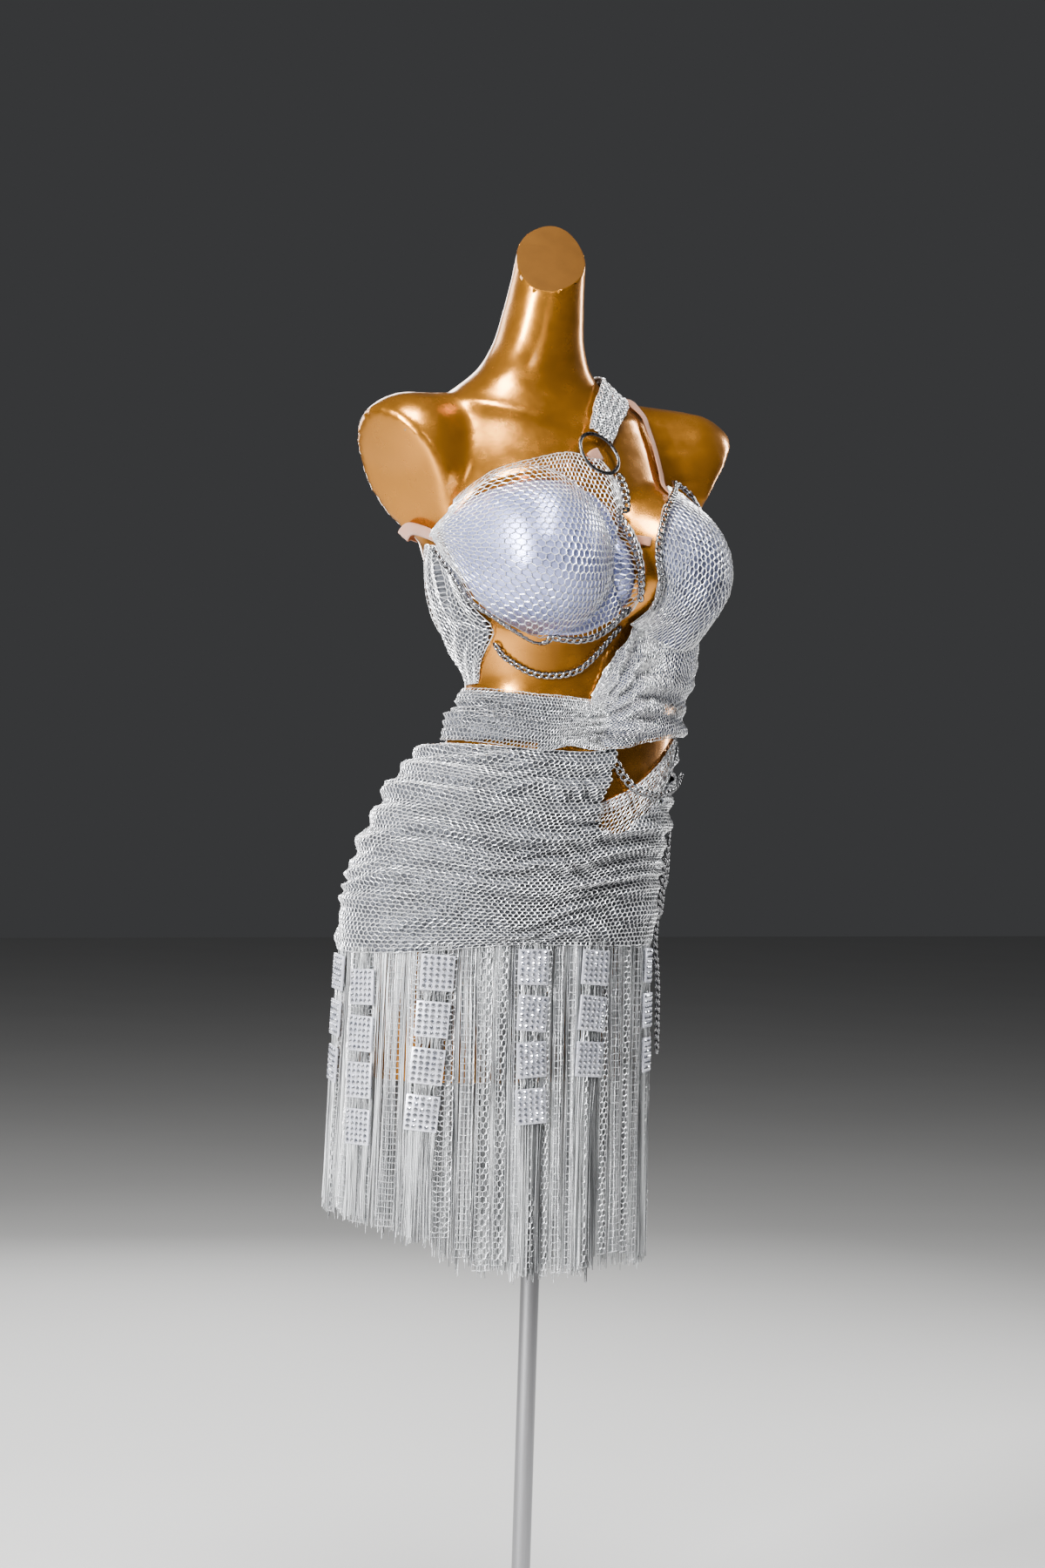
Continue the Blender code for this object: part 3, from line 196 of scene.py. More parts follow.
def form_normal(theta, z):
    """The outward direction, from points a little apart, so that it turns gently at a crease."""
    along = form_point(theta + NORMAL_TURN, z) - form_point(theta - NORMAL_TURN, z)
    up = form_point(theta, z + NORMAL_RISE) - form_point(theta, z - NORMAL_RISE)
    n = np.cross(along, up)
    return n / np.linalg.norm(n, axis=-1, keepdims=True)


def lay(theta_deg, z, height):
    """A point at a height over the form's surface."""
    theta = np.radians(theta_deg)
    return form_point(theta, z) + form_normal(theta, z) * np.asarray(height)[..., None]


def bust_swell(theta_deg, z):
    """1 at the top of a cup, falling to 0 round it."""
    p = form_point(np.radians(theta_deg), z)
    swell = 0
    for side in (-1, 1):
        middle = side * (BUST_CENTRE_X + SWELL_SHIFT) + BUST_SHIFT
        q = ((p[..., 0] - middle) / SWELL_WIDE) ** 2 + ((z - BUST_CENTRE_Z) / SWELL_HIGH) ** 2
        swell = np.maximum(swell, np.where(p[..., 1] < 0, np.clip(1 - q, 0, 1), 0))
    return swell


def even_turn(start, stop, z, count=721):
    """A function from 0..1 to angles in degrees, evenly along the form's girth at a height."""
    fine = np.linspace(start, stop, count)
    p = form_point(np.radians(fine), np.full_like(fine, z))
    length = np.concatenate([[0], np.cumsum(np.linalg.norm(np.diff(p, axis=0), axis=1))])
    return (lambda u: np.interp(u * length[-1], length, fine)), length[-1]


WANDER_WAVES, WANDER_SIZE = 6, 2.2


def wander(seed, *arrays):
    """A smooth uneven value about 0, mostly between -1 and 1, from a few waves in mixed directions."""
    rng = np.random.default_rng(seed)
    total = 0.0
    for _ in range(WANDER_WAVES):
        phase = rng.uniform(0, TAU)
        for a in arrays:
            phase = phase + a * rng.uniform(-1, 1) * TAU
        total = total + np.sin(phase) * rng.uniform(0.3, 1.0)
    return total / WANDER_SIZE


# Materials


class Shader:
    """A node material under construction: a Principled shader and a few helpers to feed it."""

    def __init__(self, name, colour, metallic, roughness, **sockets):
        self.material = bpy.data.materials.new(name)
        self.material.use_nodes = True
        self.material.diffuse_color = (*colour, 1)
        self.nodes, self.links = self.material.node_tree.nodes, self.material.node_tree.links
        self.surface = next(n for n in self.nodes if n.type == "BSDF_PRINCIPLED")
        self.surface.inputs["Base Color"].default_value = (*colour, 1)
        self.surface.inputs["Metallic"].default_value = metallic
        self.surface.inputs["Roughness"].default_value = roughness
        for socket, value in sockets.items():
            self.surface.inputs[socket.replace("_", " ")].default_value = value
        self.place = self.add("ShaderNodeTexCoord").outputs["Object"]

    def add(self, kind, **settings):
        node = self.nodes.new(kind)
        for key, value in settings.items():
            setattr(node, key, value)
        return node

    def join(self, value, socket):
        if isinstance(value, bpy.types.NodeSocket):
            self.links.new(value, socket)
        else:
            socket.default_value = value

    def uv(self):
        return self.add("ShaderNodeTexCoord").outputs["UV"]

    def noise(self, scale, detail=3.0, rough=0.5, at=None):
        node = self.add("ShaderNodeTexNoise")
        node.inputs["Scale"].default_value = scale
        node.inputs["Detail"].default_value = detail
        node.inputs["Roughness"].default_value = rough
        self.links.new(self.place if at is None else at, node.inputs["Vector"])
        return node.outputs["Fac"]

    def stretched(self, scale, at=None):
        """The place coordinates scaled by a different amount along each axis."""
        node = self.add("ShaderNodeMapping")
        node.inputs["Scale"].default_value = scale
        self.links.new(self.place if at is None else at, node.inputs["Vector"])
        return node.outputs["Vector"]

    def wave(self, scale, distortion=0.0, direction="X", at=None):
        node = self.add("ShaderNodeTexWave", bands_direction=direction, wave_profile="SIN")
        node.inputs["Scale"].default_value = scale
        node.inputs["Distortion"].default_value = distortion
        self.links.new(self.place if at is None else at, node.inputs["Vector"])
        return node.outputs["Fac"]

    def cells(self, scale, feature="DISTANCE_TO_EDGE", at=None, randomness=1.0):
        node = self.add("ShaderNodeTexVoronoi", feature=feature)
        node.inputs["Scale"].default_value = scale
        node.inputs["Randomness"].default_value = randomness
        self.links.new(self.place if at is None else at, node.inputs["Vector"])
        return node.outputs["Distance"]

    def fit(self, value, low, high, to_low=0.0, to_high=1.0):
        """A value mapped from one range to another, clamped."""
        node = self.add("ShaderNodeMapRange")
        self.links.new(value, node.inputs["Value"])
        for socket, number in zip(("From Min", "From Max", "To Min", "To Max"), (low, high, to_low, to_high)):
            node.inputs[socket].default_value = number
        return node.outputs["Result"]

    def sum(self, a, b, operation="ADD"):
        node = self.add("ShaderNodeMath", operation=operation)
        self.join(a, node.inputs[0])
        self.join(b, node.inputs[1])
        return node.outputs[0]

    def mix(self, share, first, second):
        """A colour between two, by a share."""
        node = self.add("ShaderNodeMix", data_type="RGBA")
        self.join(share, node.inputs["Factor"])
        for value, socket in ((first, node.inputs["A"]), (second, node.inputs["B"])):
            self.join(value if isinstance(value, bpy.types.NodeSocket) else (*value, 1), socket)
        return node.outputs["Result"]

    def colour(self, value):
        self.links.new(value, self.surface.inputs["Base Color"])

    def feed(self, socket, value):
        self.links.new(value, self.surface.inputs[socket])

    def bump(self, height, depth):
        node = self.add("ShaderNodeBump")
        node.inputs["Distance"].default_value = depth
        node.inputs["Strength"].default_value = 1.0
        self.links.new(height, node.inputs["Height"])
        earlier = self.surface.inputs["Normal"]
        if earlier.is_linked:
            self.links.new(earlier.links[0].from_socket, node.inputs["Normal"])
        self.links.new(node.outputs["Normal"], earlier)


def tint(colour, amount):
    """A colour made lighter or darker."""
    return tuple(min(1.0, c * amount) for c in colour)


LOOKS = {}


def gold_lacquer(colour):
    s = Shader("gold_lacquer", colour, 0.88, 0.24, Coat_Weight=0.25, Coat_Roughness=0.08)
    cloud = s.fit(s.noise(9.0, 3), 0.35, 0.7)
    base = s.mix(cloud, tint(colour, 0.88), tint(colour, 1.12))
    ragged = s.fit(s.noise(220.0, 2), 0.0, 1.0, 0.0, 0.10)
    chips = s.fit(s.sum(s.cells(16.0, "F1"), ragged), 0.066, 0.058)
    s.colour(s.mix(chips, base, (0.22, 0.19, 0.16)))
    s.feed("Roughness", s.fit(s.noise(60.0, 4), 0.3, 0.8, 0.20, 0.32))
    s.bump(s.noise(240.0, 2), 0.00006)
    return s.material


def neck_cap_look(colour):
    s = Shader("neck_cap_matt", tint(colour, 0.6), 0.0, 0.9, Specular_IOR_Level=0.1)
    s.colour(s.mix(s.noise(60.0, 4), tint(colour, 0.10), tint(colour, 0.16)))
    s.bump(s.noise(400.0, 3), 0.0001)
    return s.material


def steel_look(name, colour, roughness, streak_scale, greys, polish):
    """Brushed steel: fine streaks between two greys and two roughnesses."""
    s = Shader(name, colour, 1.0, roughness)
    streaks = s.noise(1.0, 4, 0.6, s.stretched(streak_scale))
    s.colour(s.mix(streaks, *greys))
    s.feed("Roughness", s.fit(streaks, 0.2, 0.8, *polish))
    s.bump(streaks, 0.00004)
    return s.material


def satin_look(colour):
    s = Shader("lavender_satin", colour, 0.65, 0.24, Coat_Weight=0.3, Coat_Roughness=0.15)
    threads = s.wave(420.0, 1.5, "DIAGONAL")
    s.colour(s.mix(s.fit(s.noise(14.0, 3), 0.3, 0.75), tint(colour, 0.86), tint(colour, 1.16)))
    s.feed("Roughness", s.fit(s.noise(90.0, 3), 0.3, 0.8, 0.22, 0.34))
    s.bump(threads, 0.00008)
    return s.material


def net_look(name, colour):
    """Bright metallic thread, with painted glints in its colour and duller runs of uneven tone."""
    s = Shader(name, colour, 0.78, 0.3)
    painted_glints = s.fit(s.noise(700.0, 2), 0.35, 0.7)
    runs = s.fit(s.noise(26.0, 3), 0.3, 0.75)
    # Painted glints: fine specks of the colour are made brighter; the same noise also varies the roughness.
    s.colour(s.mix(s.sum(painted_glints, runs, "MULTIPLY"), tint(colour, 0.66), tint(colour, 1.08)))
    s.feed("Roughness", s.fit(painted_glints, 0.0, 1.0, 0.24, 0.42))
    s.bump(s.noise(1500.0, 2), 0.0002)
    return s.material


def backing_look(name, dark, light):
    """The cloth's lower layers seen through the net: knitted rows and columns of metallic thread, coloured near black
    as painted shade between the layers, painted darker in the knit's hollows, and of uneven tone.
    """
    s = Shader(name, light, 0.3, 0.45)
    uv = s.uv()
    rows = s.wave(60.0, 1.2, "Y", uv)
    columns = s.wave(66.0, 2.0, "X", uv)
    knit = s.sum(rows, columns, "MULTIPLY")
    loops = s.fit(s.cells(330.0, "F1", uv, 0.6), 0.1, 0.7)
    height = s.sum(knit, loops, "ADD")
    # Painted shade: the colour falls where the knit is low, and the whole layer is far darker than its silver thread.
    shade = s.sum(s.fit(height, 0.2, 1.4), s.fit(s.noise(30.0, 3), 0.2, 0.8), "MULTIPLY")
    s.colour(s.mix(shade, dark, light))
    s.feed("Roughness", s.fit(knit, 0.0, 1.0, 0.5, 0.3))
    s.bump(height, 0.0009)
    return s.material


def elastic_look(colour):
    """Soft knitted elastic with fine ribs, on the strap's own map, with painted shade in the ribs' hollows."""
    s = Shader("nude_elastic", colour, 0.0, 0.62, Sheen_Weight=0.3)
    uv = s.uv()
    ribs = s.wave(330.0, 0.3, "Y", uv)
    knit = s.wave(260.0, 1.0, "X", uv)
    height = s.sum(ribs, knit, "ADD")
    # Painted shade: the colour is darker where the ribs are low.
    shade = s.fit(s.sum(height, s.noise(40.0, 3), "MULTIPLY"), 0.2, 1.2)
    s.colour(s.mix(shade, tint(colour, 0.75), tint(colour, 1.15)))
    s.bump(height, 0.00025)
    return s.material


def thread_look(name, colour):
    """Shiny twisted thread, in strands and clumps of uneven tone that run down the skirt, darkened nearly to black as
    painted shade between the threads.
    """
    s = Shader(name, colour, 0.7, 0.3)
    strand = s.noise(430.0, 1, 0.5, s.stretched((1.0, 1.0, 0.02)))
    twist = s.noise(900.0, 2)
    painted_clump_shade = s.noise(80.0, 1, 0.5, s.stretched((1.0, 1.0, 0.02)))
    # Painted shade: strands and long bands of the fringe drop nearly to black, where threads lie in each other's
    # shadow.
    shade = s.sum(s.fit(strand, 0.38, 0.62, 0.25, 1.0), s.fit(painted_clump_shade, 0.36, 0.6, 0.3, 1.0), "MULTIPLY")
    s.colour(s.mix(shade, tint(colour, 0.06), tint(colour, 1.2)))
    s.feed("Roughness", s.fit(twist, 0.2, 0.8, 0.26, 0.48))
    s.bump(twist, 0.0003)
    return s.material


def chain_look(name, colour, roughness):
    s = Shader(name, colour, 1.0, roughness)
    s.colour(s.mix(s.fit(s.noise(220.0, 3), 0.3, 0.7), tint(colour, 0.75), tint(colour, 1.2)))
    s.feed("Roughness", s.fit(s.noise(500.0, 2), 0.3, 0.7, roughness * 0.7, roughness * 1.5))
    s.bump(s.noise(800.0, 2), 0.00006)
    return s.material


def block_look(colour):
    """The metal mesh that the stones are set in."""
    s = Shader("stone_block_mesh", colour, 0.6, 0.34)
    s.colour(s.mix(s.fit(s.noise(120.0, 3), 0.3, 0.7), tint(colour, 0.82), tint(colour, 1.12)))
    s.feed("Roughness", s.fit(s.noise(300.0, 2), 0.3, 0.7, 0.24, 0.42))
    s.bump(s.noise(700.0, 2), 0.0001)
    return s.material


def stone_look():
    """Foil-backed cut stones, with bright and dark facets painted in as painted reflections."""
    s = Shader("cut_stone", (0.80, 0.82, 0.90), 0.92, 0.06, Coat_Weight=1.0, Coat_Roughness=0.03)
    painted_facet_flash = s.noise(240.0, 1)
    # Painted reflections: each stone's colour is set bright or dark by noise, as facets that flash or stay dark.
    s.colour(s.mix(s.fit(painted_facet_flash, 0.35, 0.65), (0.42, 0.44, 0.52), (0.94, 0.95, 1.0)))
    return s.material


def floor_look():
    s = Shader("pale_floor", (0.60, 0.595, 0.585), 0.0, 0.75)
    s.colour(s.mix(s.noise(1.5, 3), (0.585, 0.58, 0.57), (0.63, 0.625, 0.615)))
    s.bump(s.noise(40.0, 4), 0.0004)
    return s.material


# Meshes


def add_piece(name, bm, look, stands_for=(), smooth=True):
    """Makes an object of a bmesh, hangs it under the root body, and hides the parts it stands for."""
    mesh = bpy.data.meshes.new(name)
    bm.to_mesh(mesh)
    bm.free()
    return add_mesh(name, mesh, look, stands_for, smooth)


def add_mesh(name, mesh, look, stands_for=(), smooth=True):
    mesh.name = name
    mesh.materials.clear()
    mesh.materials.append(look)
    mesh.polygons.foreach_set("material_index", [0] * len(mesh.polygons))
    mesh.shade_smooth() if smooth else mesh.shade_flat()
    piece = bpy.data.objects.new(name, mesh)
    bpy.context.scene.collection.objects.link(piece)
    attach(piece, "root")
    if stands_for:
        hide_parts(*stands_for)
    return piece


def baked(piece):
    """Applies a piece's modifiers to its mesh."""
    graph = bpy.context.evaluated_depsgraph_get()
    mesh = bpy.data.meshes.new_from_object(piece.evaluated_get(graph))
    piece.modifiers.clear()
    old = piece.data
    piece.data = mesh
    mesh.name = piece.name
    bpy.data.meshes.remove(old)
    return piece


def loose_object(bm, name):
    """A helper object that isn't a piece, for modifiers to work on."""
    mesh = bpy.data.meshes.new(name)
    bm.to_mesh(mesh)
    bm.free()
    helper = bpy.data.objects.new(name, mesh)
    bpy.context.scene.collection.objects.link(helper)
    return helper


def take_mesh(helper):
    """A helper's evaluated mesh. The helper goes."""
    graph = bpy.context.evaluated_depsgraph_get()
    mesh = bpy.data.meshes.new_from_object(helper.evaluated_get(graph))
    old = helper.data
    bpy.data.objects.remove(helper)
    bpy.data.meshes.remove(old)
    return mesh


def grid_of(cols, rows):
    """A bmesh grid with its vertices' column and row numbers, the rows counted from the top."""
    bm = bmesh.new()
    bmesh.ops.create_grid(bm, x_segments=cols, y_segments=rows, size=0.5, calc_uvs=True)
    at = np.array([v.co[:] for v in bm.verts])
    i = np.rint((at[:, 0] + 0.5) * cols).astype(int)
    j = np.rint((0.5 - at[:, 1]) * rows).astype(int)
    return bm, i, j


def move_vertices(bm, points):
    for v, p in zip(bm.verts, points):
        v.co = p


def map_in_metres(bm, i, j, cols, rows, size):
    """Writes the cloth's own map, in metres along and down the flat cut."""
    layer = bm.loops.layers.uv.verify()
    uv = np.column_stack([i / cols * size[0], -j / rows * size[1]])
    bm.verts.index_update()
    for face in bm.faces:
        for loop in face.loops:
            loop[layer].uv = uv[loop.vert.index]


def face_out(bm):
    """Turns the faces so that they point away from the middle of the form."""
    bm.normal_update()
    total = 0.0
    for face in bm.faces:
        c = face.calc_center_median()
        cx = float(curve_at(SECTIONS, c.z, 1))
        cy = float(curve_at(SECTIONS, c.z, 2))
        total += face.normal.x * (c.x - cx) + face.normal.y * (c.y - cy)
    if total < 0:
        bmesh.ops.reverse_faces(bm, faces=bm.faces)


def drop_faces(bm, unwanted):
    """Deletes the faces whose middles a test picks out."""
    gone = [f for f in bm.faces if unwanted(f.calc_center_median())]
    bmesh.ops.delete(bm, geom=gone, context="FACES")


def cloth_shell(name, cols, rows, place, size, look, thick, stands_for=(), unwanted=None,
                closed=False):
    """A thin cloth shell on a grid: place gives a point from the place across and down."""
    bm, i, j = grid_of(cols, rows)
    move_vertices(bm, place(i / cols, j / rows))
    map_in_metres(bm, i, j, cols, rows, size)
    if unwanted:
        drop_faces(bm, unwanted)
    if closed:
        bmesh.ops.remove_doubles(bm, verts=bm.verts, dist=1e-5)
    face_out(bm)
    piece = add_piece(name, bm, look, stands_for)
    wall = piece.modifiers.new("wall", "SOLIDIFY")
    wall.thickness = thick
    wall.offset = 0.0
    return baked(piece)


ZIGZAG = 0.167
NET_UNEVEN = 0.25 * MM


def net_bmesh(cols, rows, place, size, square=False, unwanted=None, seed=0):
    """A net's cells as faces: six-sided, or four-sided where square."""
    bm, i, j = grid_of(cols, rows)
    if square:
        shift = np.zeros(len(i))
    else:
        drop = []
        bm.verts.index_update()
        for e in bm.edges:
            a, b = e.verts[0].index, e.verts[1].index
            if i[a] == i[b] and 0 < i[a] < cols and (i[a] + min(j[a], j[b])) % 2:
                drop.append(e)
        bmesh.ops.dissolve_edges(bm, edges=drop, use_verts=False, use_face_split=False)
        shift = np.where((i + j) % 2 == 0, ZIGZAG, -ZIGZAG)
        shift = np.where((j == 0) | (j == rows), 0.0, shift)
    points = place(i / cols, (j + shift) / rows)
    rng = np.random.default_rng(seed)
    move_vertices(bm, points + rng.normal(0, NET_UNEVEN, points.shape))
    map_in_metres(bm, i, j, cols, rows, size)
    if unwanted:
        drop_faces(bm, unwanted)
    face_out(bm)
    return bm


def add_net(name, bm, strand, look, stands_for=()):
    """A net of real strands, from the cells as faces."""
    piece = add_piece(name, bm, look, stands_for, smooth=False)
    wires = piece.modifiers.new("strands", "WIREFRAME")
    wires.thickness = strand
    wires.use_even_offset = False
    wires.use_boundary = True
    wires.use_replace = True
    return baked(piece)


def tube_piece(name, lines, radius, look, stands_for=()):
    """Round strands along lines of points, joined in one mesh: curves with a bevel, made a mesh."""
    curve = bpy.data.curves.new(name, "CURVE")
    curve.dimensions = "3D"
    curve.bevel_depth = radius
    curve.bevel_resolution = 0
    curve.use_fill_caps = False
    for points in lines:
        spline = curve.splines.new("POLY")
        spline.points.add(len(points) - 1)
        flat = np.column_stack([points, np.ones(len(points))]).ravel()
        spline.points.foreach_set("co", flat)
    helper = bpy.data.objects.new(name, curve)
    bpy.context.scene.collection.objects.link(helper)
    graph = bpy.context.evaluated_depsgraph_get()
    mesh = bpy.data.meshes.new_from_object(helper.evaluated_get(graph))
    bpy.data.objects.remove(helper)
    bpy.data.curves.remove(curve)
    return add_mesh(name, mesh, look, stands_for)


def repeated(unit, matrices):
    """A bmesh of copies of a small mesh, each moved by its own matrix."""
    bm = bmesh.new()
    for matrix in matrices:
        before = len(bm.verts)
        bm.from_mesh(unit)
        bm.verts.ensure_lookup_table()
        bmesh.ops.transform(bm, matrix=matrix, verts=bm.verts[before:])
    return bm


def frame_matrix(origin, x, y, z):
    m = Matrix((x, y, z)).transposed().to_4x4()
    m.translation = Vector(origin)
    return m


def spread(table, count):
    """Rows of a table resampled to a count by a cubic, evenly by row number."""
    table = np.asarray(table, float)
    numbered = np.column_stack([np.arange(len(table)), table])
    at = np.linspace(0, len(table) - 1, count)
    return np.column_stack([curve_at(numbered, at, k + 1) for k in range(table.shape[1])])


def panel_at(edges, u, v):
    """Angle and height in a panel, from its cross lines (theta at top, z at top, theta at bottom, z)."""
    table = np.asarray(edges, float)
    numbered = np.column_stack([np.arange(len(table)), table])
    at = np.asarray(u) * (len(table) - 1)
    top_angle, top_z, low_angle, low_z = (curve_at(numbered, at, k + 1) for k in range(4))
    return top_angle * (1 - v) + low_angle * v, top_z * (1 - v) + low_z * v


def on_panel(edges, height, warp=None):
    """A place function for a panel: height takes angle, z, and the place across and down."""
    def place(u, v):
        if warp:
            u, v = warp(u, v)
        theta, z = panel_at(edges, u, v)
        return lay(theta, z, height(theta, z, u, v))
    return place


def angle_of(point):
    """A point's angle round the form at its own height, in degrees from 0 to 360."""
    cx, cy = float(curve_at(SECTIONS, point[2], 1)), float(curve_at(SECTIONS, point[2], 2))
    return math.degrees(math.atan2(point[1] - cy, point[0] - cx)) % 360


# The dress form and its stand

ROUGH_VOXEL, ROUGH_ROUNDS = 3.6 * MM, 3
FORM_VOXEL, FORM_ROUNDS = 0.0048, 10
STUMP_FOOT, STUMP_INSIDE = 1.250, 0.1
STUMP_DOME = 5.0 * MM
NECK_ZONE, BOTTOM_ZONE = 1.48, 0.75
RIM_SIDES, RIM_BEVEL = 8, 1.4 * MM
CAP_FACING, CAP_NEAR = 0.9, 0.0012
CHEST_LOW, CHEST_HIGH, CHEST_BACK = 1.35, 1.43, 0.015
COLLARBONE_RISE = 2.6 * MM
COLLARBONE_X, COLLARBONE_Z, COLLARBONE_SLOPE, COLLARBONE_WIDE = -0.012, 1.384, 0.16, 0.0075
COLLARBONE_START, COLLARBONE_END = (0.016, 0.045), (0.085, 0.135)


def collarbone(p):
    """How far the two collarbones stand up from the chest, at a point of the form."""
    side = abs(p.x - COLLARBONE_X)
    ridge = COLLARBONE_Z + COLLARBONE_SLOPE * max(side - 0.03, 0)
    across = math.exp(-((p.z - ridge) / COLLARBONE_WIDE) ** 2)
    along = ease(*COLLARBONE_START, side) * (1 - ease(*COLLARBONE_END, side))
    return COLLARBONE_RISE * across * along * (p.y < CHEST_BACK)


def voxel_mesh(bm, voxel, rounds):
    """The closed mesh remade of even squares, then smoothed a little."""
    bm.normal_update()
    helper = loose_object(bm, "form_helper")
    remake = helper.modifiers.new("even", "REMESH")
    remake.mode = "VOXEL"
    remake.voxel_size = voxel
    relax = helper.modifiers.new("relax", "SMOOTH")
    relax.factor = 0.5
    relax.iterations = rounds
    mesh = take_mesh(helper)
    out = bmesh.new()
    out.from_mesh(mesh)
    bpy.data.meshes.remove(mesh)
    return out


def cut_flat(bm, point, normal, wanted):
    """Cuts the picked part of a closed mesh by a plane and closes it flat."""
    geom = [f for f in bm.faces if wanted(f.calc_center_median())]
    edges = {e for f in geom for e in f.edges}
    verts = {v for f in geom for v in f.verts}
    cut = bmesh.ops.bisect_plane(bm, geom=list(verts) + list(edges) + geom, dist=1e-6,
                                 plane_co=point, plane_no=normal, clear_outer=True)
    rim = [e for e in cut["geom_cut"] if isinstance(e, bmesh.types.BMEdge) and e.is_boundary]
    bmesh.ops.holes_fill(bm, edges=rim)


def flatten_stump(bm, stump):
    """Presses a shoulder stump's end nearly onto its plane, and no deeper than the body beside it."""
    point, normal = stump_plane(stump)
    normal = normal / np.linalg.norm(normal)
    side = stump[0]

    def on_stump(p):
        return p.z > STUMP_FOOT and side * p.x > STUMP_INSIDE

    picked = [f for f in bm.faces if on_stump(f.calc_center_median())]
    edges = {e for f in picked for e in f.edges}
    verts = {v for f in picked for v in f.verts}
    bmesh.ops.bisect_plane(bm, geom=list(verts) + list(edges) + picked, dist=1e-5, plane_co=point, plane_no=normal)
    moving = [v for v in bm.verts if on_stump(v.co)]
    p = np.array([v.co[:] for v in moving])
    depth = np.maximum((p - point) @ normal, 0)
    off_centre = np.linalg.norm(p - point - np.outer((p - point) @ normal, normal), axis=1)
    dome = STUMP_DOME * np.clip(1 - (off_centre / STUMP_RADII[0]) ** 2, 0, 1)
    pressed = p - normal * (depth - np.minimum(dome, depth))[:, None]
    for _ in range(2):
        cx, cy = curve_at(SECTIONS, pressed[:, 2], 1), curve_at(SECTIONS, pressed[:, 2], 2)
        theta = np.arctan2(pressed[:, 1] - cy, pressed[:, 0] - cx)
        _, _, c, s, reach = body_reach(theta, pressed[:, 2])
        wide = np.maximum(np.hypot(pressed[:, 0] - cx, pressed[:, 1] - cy), reach)
        pressed = np.column_stack([cx + wide * c, cy + wide * s, pressed[:, 2]])
    for v, q, d in zip(moving, pressed, depth):
        if d > 0:
            v.co = q


def form_mesh():
    """The form's fine skin: sections, stumps pressed nearly flat, neck cut on a slant, and collarbones."""
    cols, rows, low, high = 200, 230, 0.670, 1.640
    bm, i, j = grid_of(cols, rows)
    z = high - (high - low) * j / rows
    move_vertices(bm, form_point(TAU * i / cols, z, cut=False))
    bmesh.ops.remove_doubles(bm, verts=bm.verts, dist=1e-6)
    bmesh.ops.holes_fill(bm, edges=[e for e in bm.edges if e.is_boundary])
    bmesh.ops.recalc_face_normals(bm, faces=bm.faces)
    bm = voxel_mesh(bm, ROUGH_VOXEL, ROUGH_ROUNDS)
    for stump in STUMPS:
        flatten_stump(bm, stump)
    bm = voxel_mesh(bm, FORM_VOXEL, FORM_ROUNDS)
    cut_flat(bm, NECK_CUT_POINT, NECK_CUT_NORMAL, lambda c: c.z > NECK_ZONE)
    cut_flat(bm, (0, 0, FORM_BOTTOM), (0, 0, -1), lambda c: c.z < BOTTOM_ZONE)
    rims = [e for e in bm.edges if any(len(f.verts) > RIM_SIDES for f in e.link_faces)]
    bmesh.ops.bevel(bm, geom=rims, offset=RIM_BEVEL, segments=2, profile=0.5, affect="EDGES", material=-1)
    bmesh.ops.triangulate(bm, faces=[f for f in bm.faces if len(f.verts) > 4])
    bm.normal_update()
    moved = [(v, v.normal * collarbone(v.co)) for v in bm.verts
             if CHEST_LOW < v.co.z < CHEST_HIGH and v.co.y < CHEST_BACK]
    for v, shift in moved:
        v.co += shift
    return bm


def build_form(settings):
    bm = form_mesh()
    piece = add_piece("form_skin", bm, LOOKS["gold"], ("form_body",))
    piece.data.materials.append(LOOKS["neck_cap"])
    point, normal = Vector(NECK_CUT_POINT), Vector(NECK_CUT_NORMAL).normalized()
    for face in piece.data.polygons:
        if face.normal.dot(normal) > CAP_FACING and abs((face.center - point).dot(normal)) < CAP_NEAR:
            face.material_index = 1


def turned(name, profile, look, stands_for, steps=64):
    """A solid of revolution about the pole's axis, from (radius, height) round its section."""
    bm = bmesh.new()
    verts = [bm.verts.new((r, 0, z)) for r, z in profile]
    edges = [bm.edges.new(pair) for pair in zip(verts, verts[1:])]
    bmesh.ops.spin(bm, geom=verts + edges, cent=(0, 0, 0), axis=(0, 0, 1), angle=TAU, steps=steps, use_merge=True)
    bmesh.ops.remove_doubles(bm, verts=bm.verts, dist=1e-6)
    bmesh.ops.recalc_face_normals(bm, faces=bm.faces)
    piece = add_piece(name, bm, look, stands_for)
    piece.data.set_sharp_from_angle(angle=SHARP_ANGLE)
    return piece


def build_stand(settings):
    steel, plate = LOOKS["steel"], LOOKS["plate"]
    edge = 2.5 * MM
    turned("base_disc", [
        (0, 0), (BASE_RADIUS - 0.4 * MM, 0), (BASE_RADIUS, 0.4 * MM), (BASE_RADIUS, BASE_THICK - edge),
        (BASE_RADIUS - 0.3 * edge, BASE_THICK - 0.3 * edge), (BASE_RADIUS - edge, BASE_THICK), (0, BASE_THICK),
    ], plate, ("base_plate",), 96)
    low, high, inside = BASE_THICK, BASE_THICK + COLLAR_HEIGHT, POLE_RADIUS + SOCKET_GAP
    turned("pole_collar", [
        (inside, low), (COLLAR_RADIUS, low), (COLLAR_RADIUS, high - 3 * MM), (COLLAR_RADIUS - 1 * MM, high - 1 * MM),
        (COLLAR_RADIUS - 3 * MM, high), (inside + 0.6 * MM, high), (inside, high - 0.6 * MM), (inside, low),
    ], steel, ("base_collar",))
    top = FORM_BOTTOM + POLE_IN_FORM
    turned("pole_tube", [(0, low), (POLE_RADIUS, low), (POLE_RADIUS, top), (0, top)], steel, ("pole",))


# The bodice. Cross lines run along each piece, each from its upper to its lower edge.

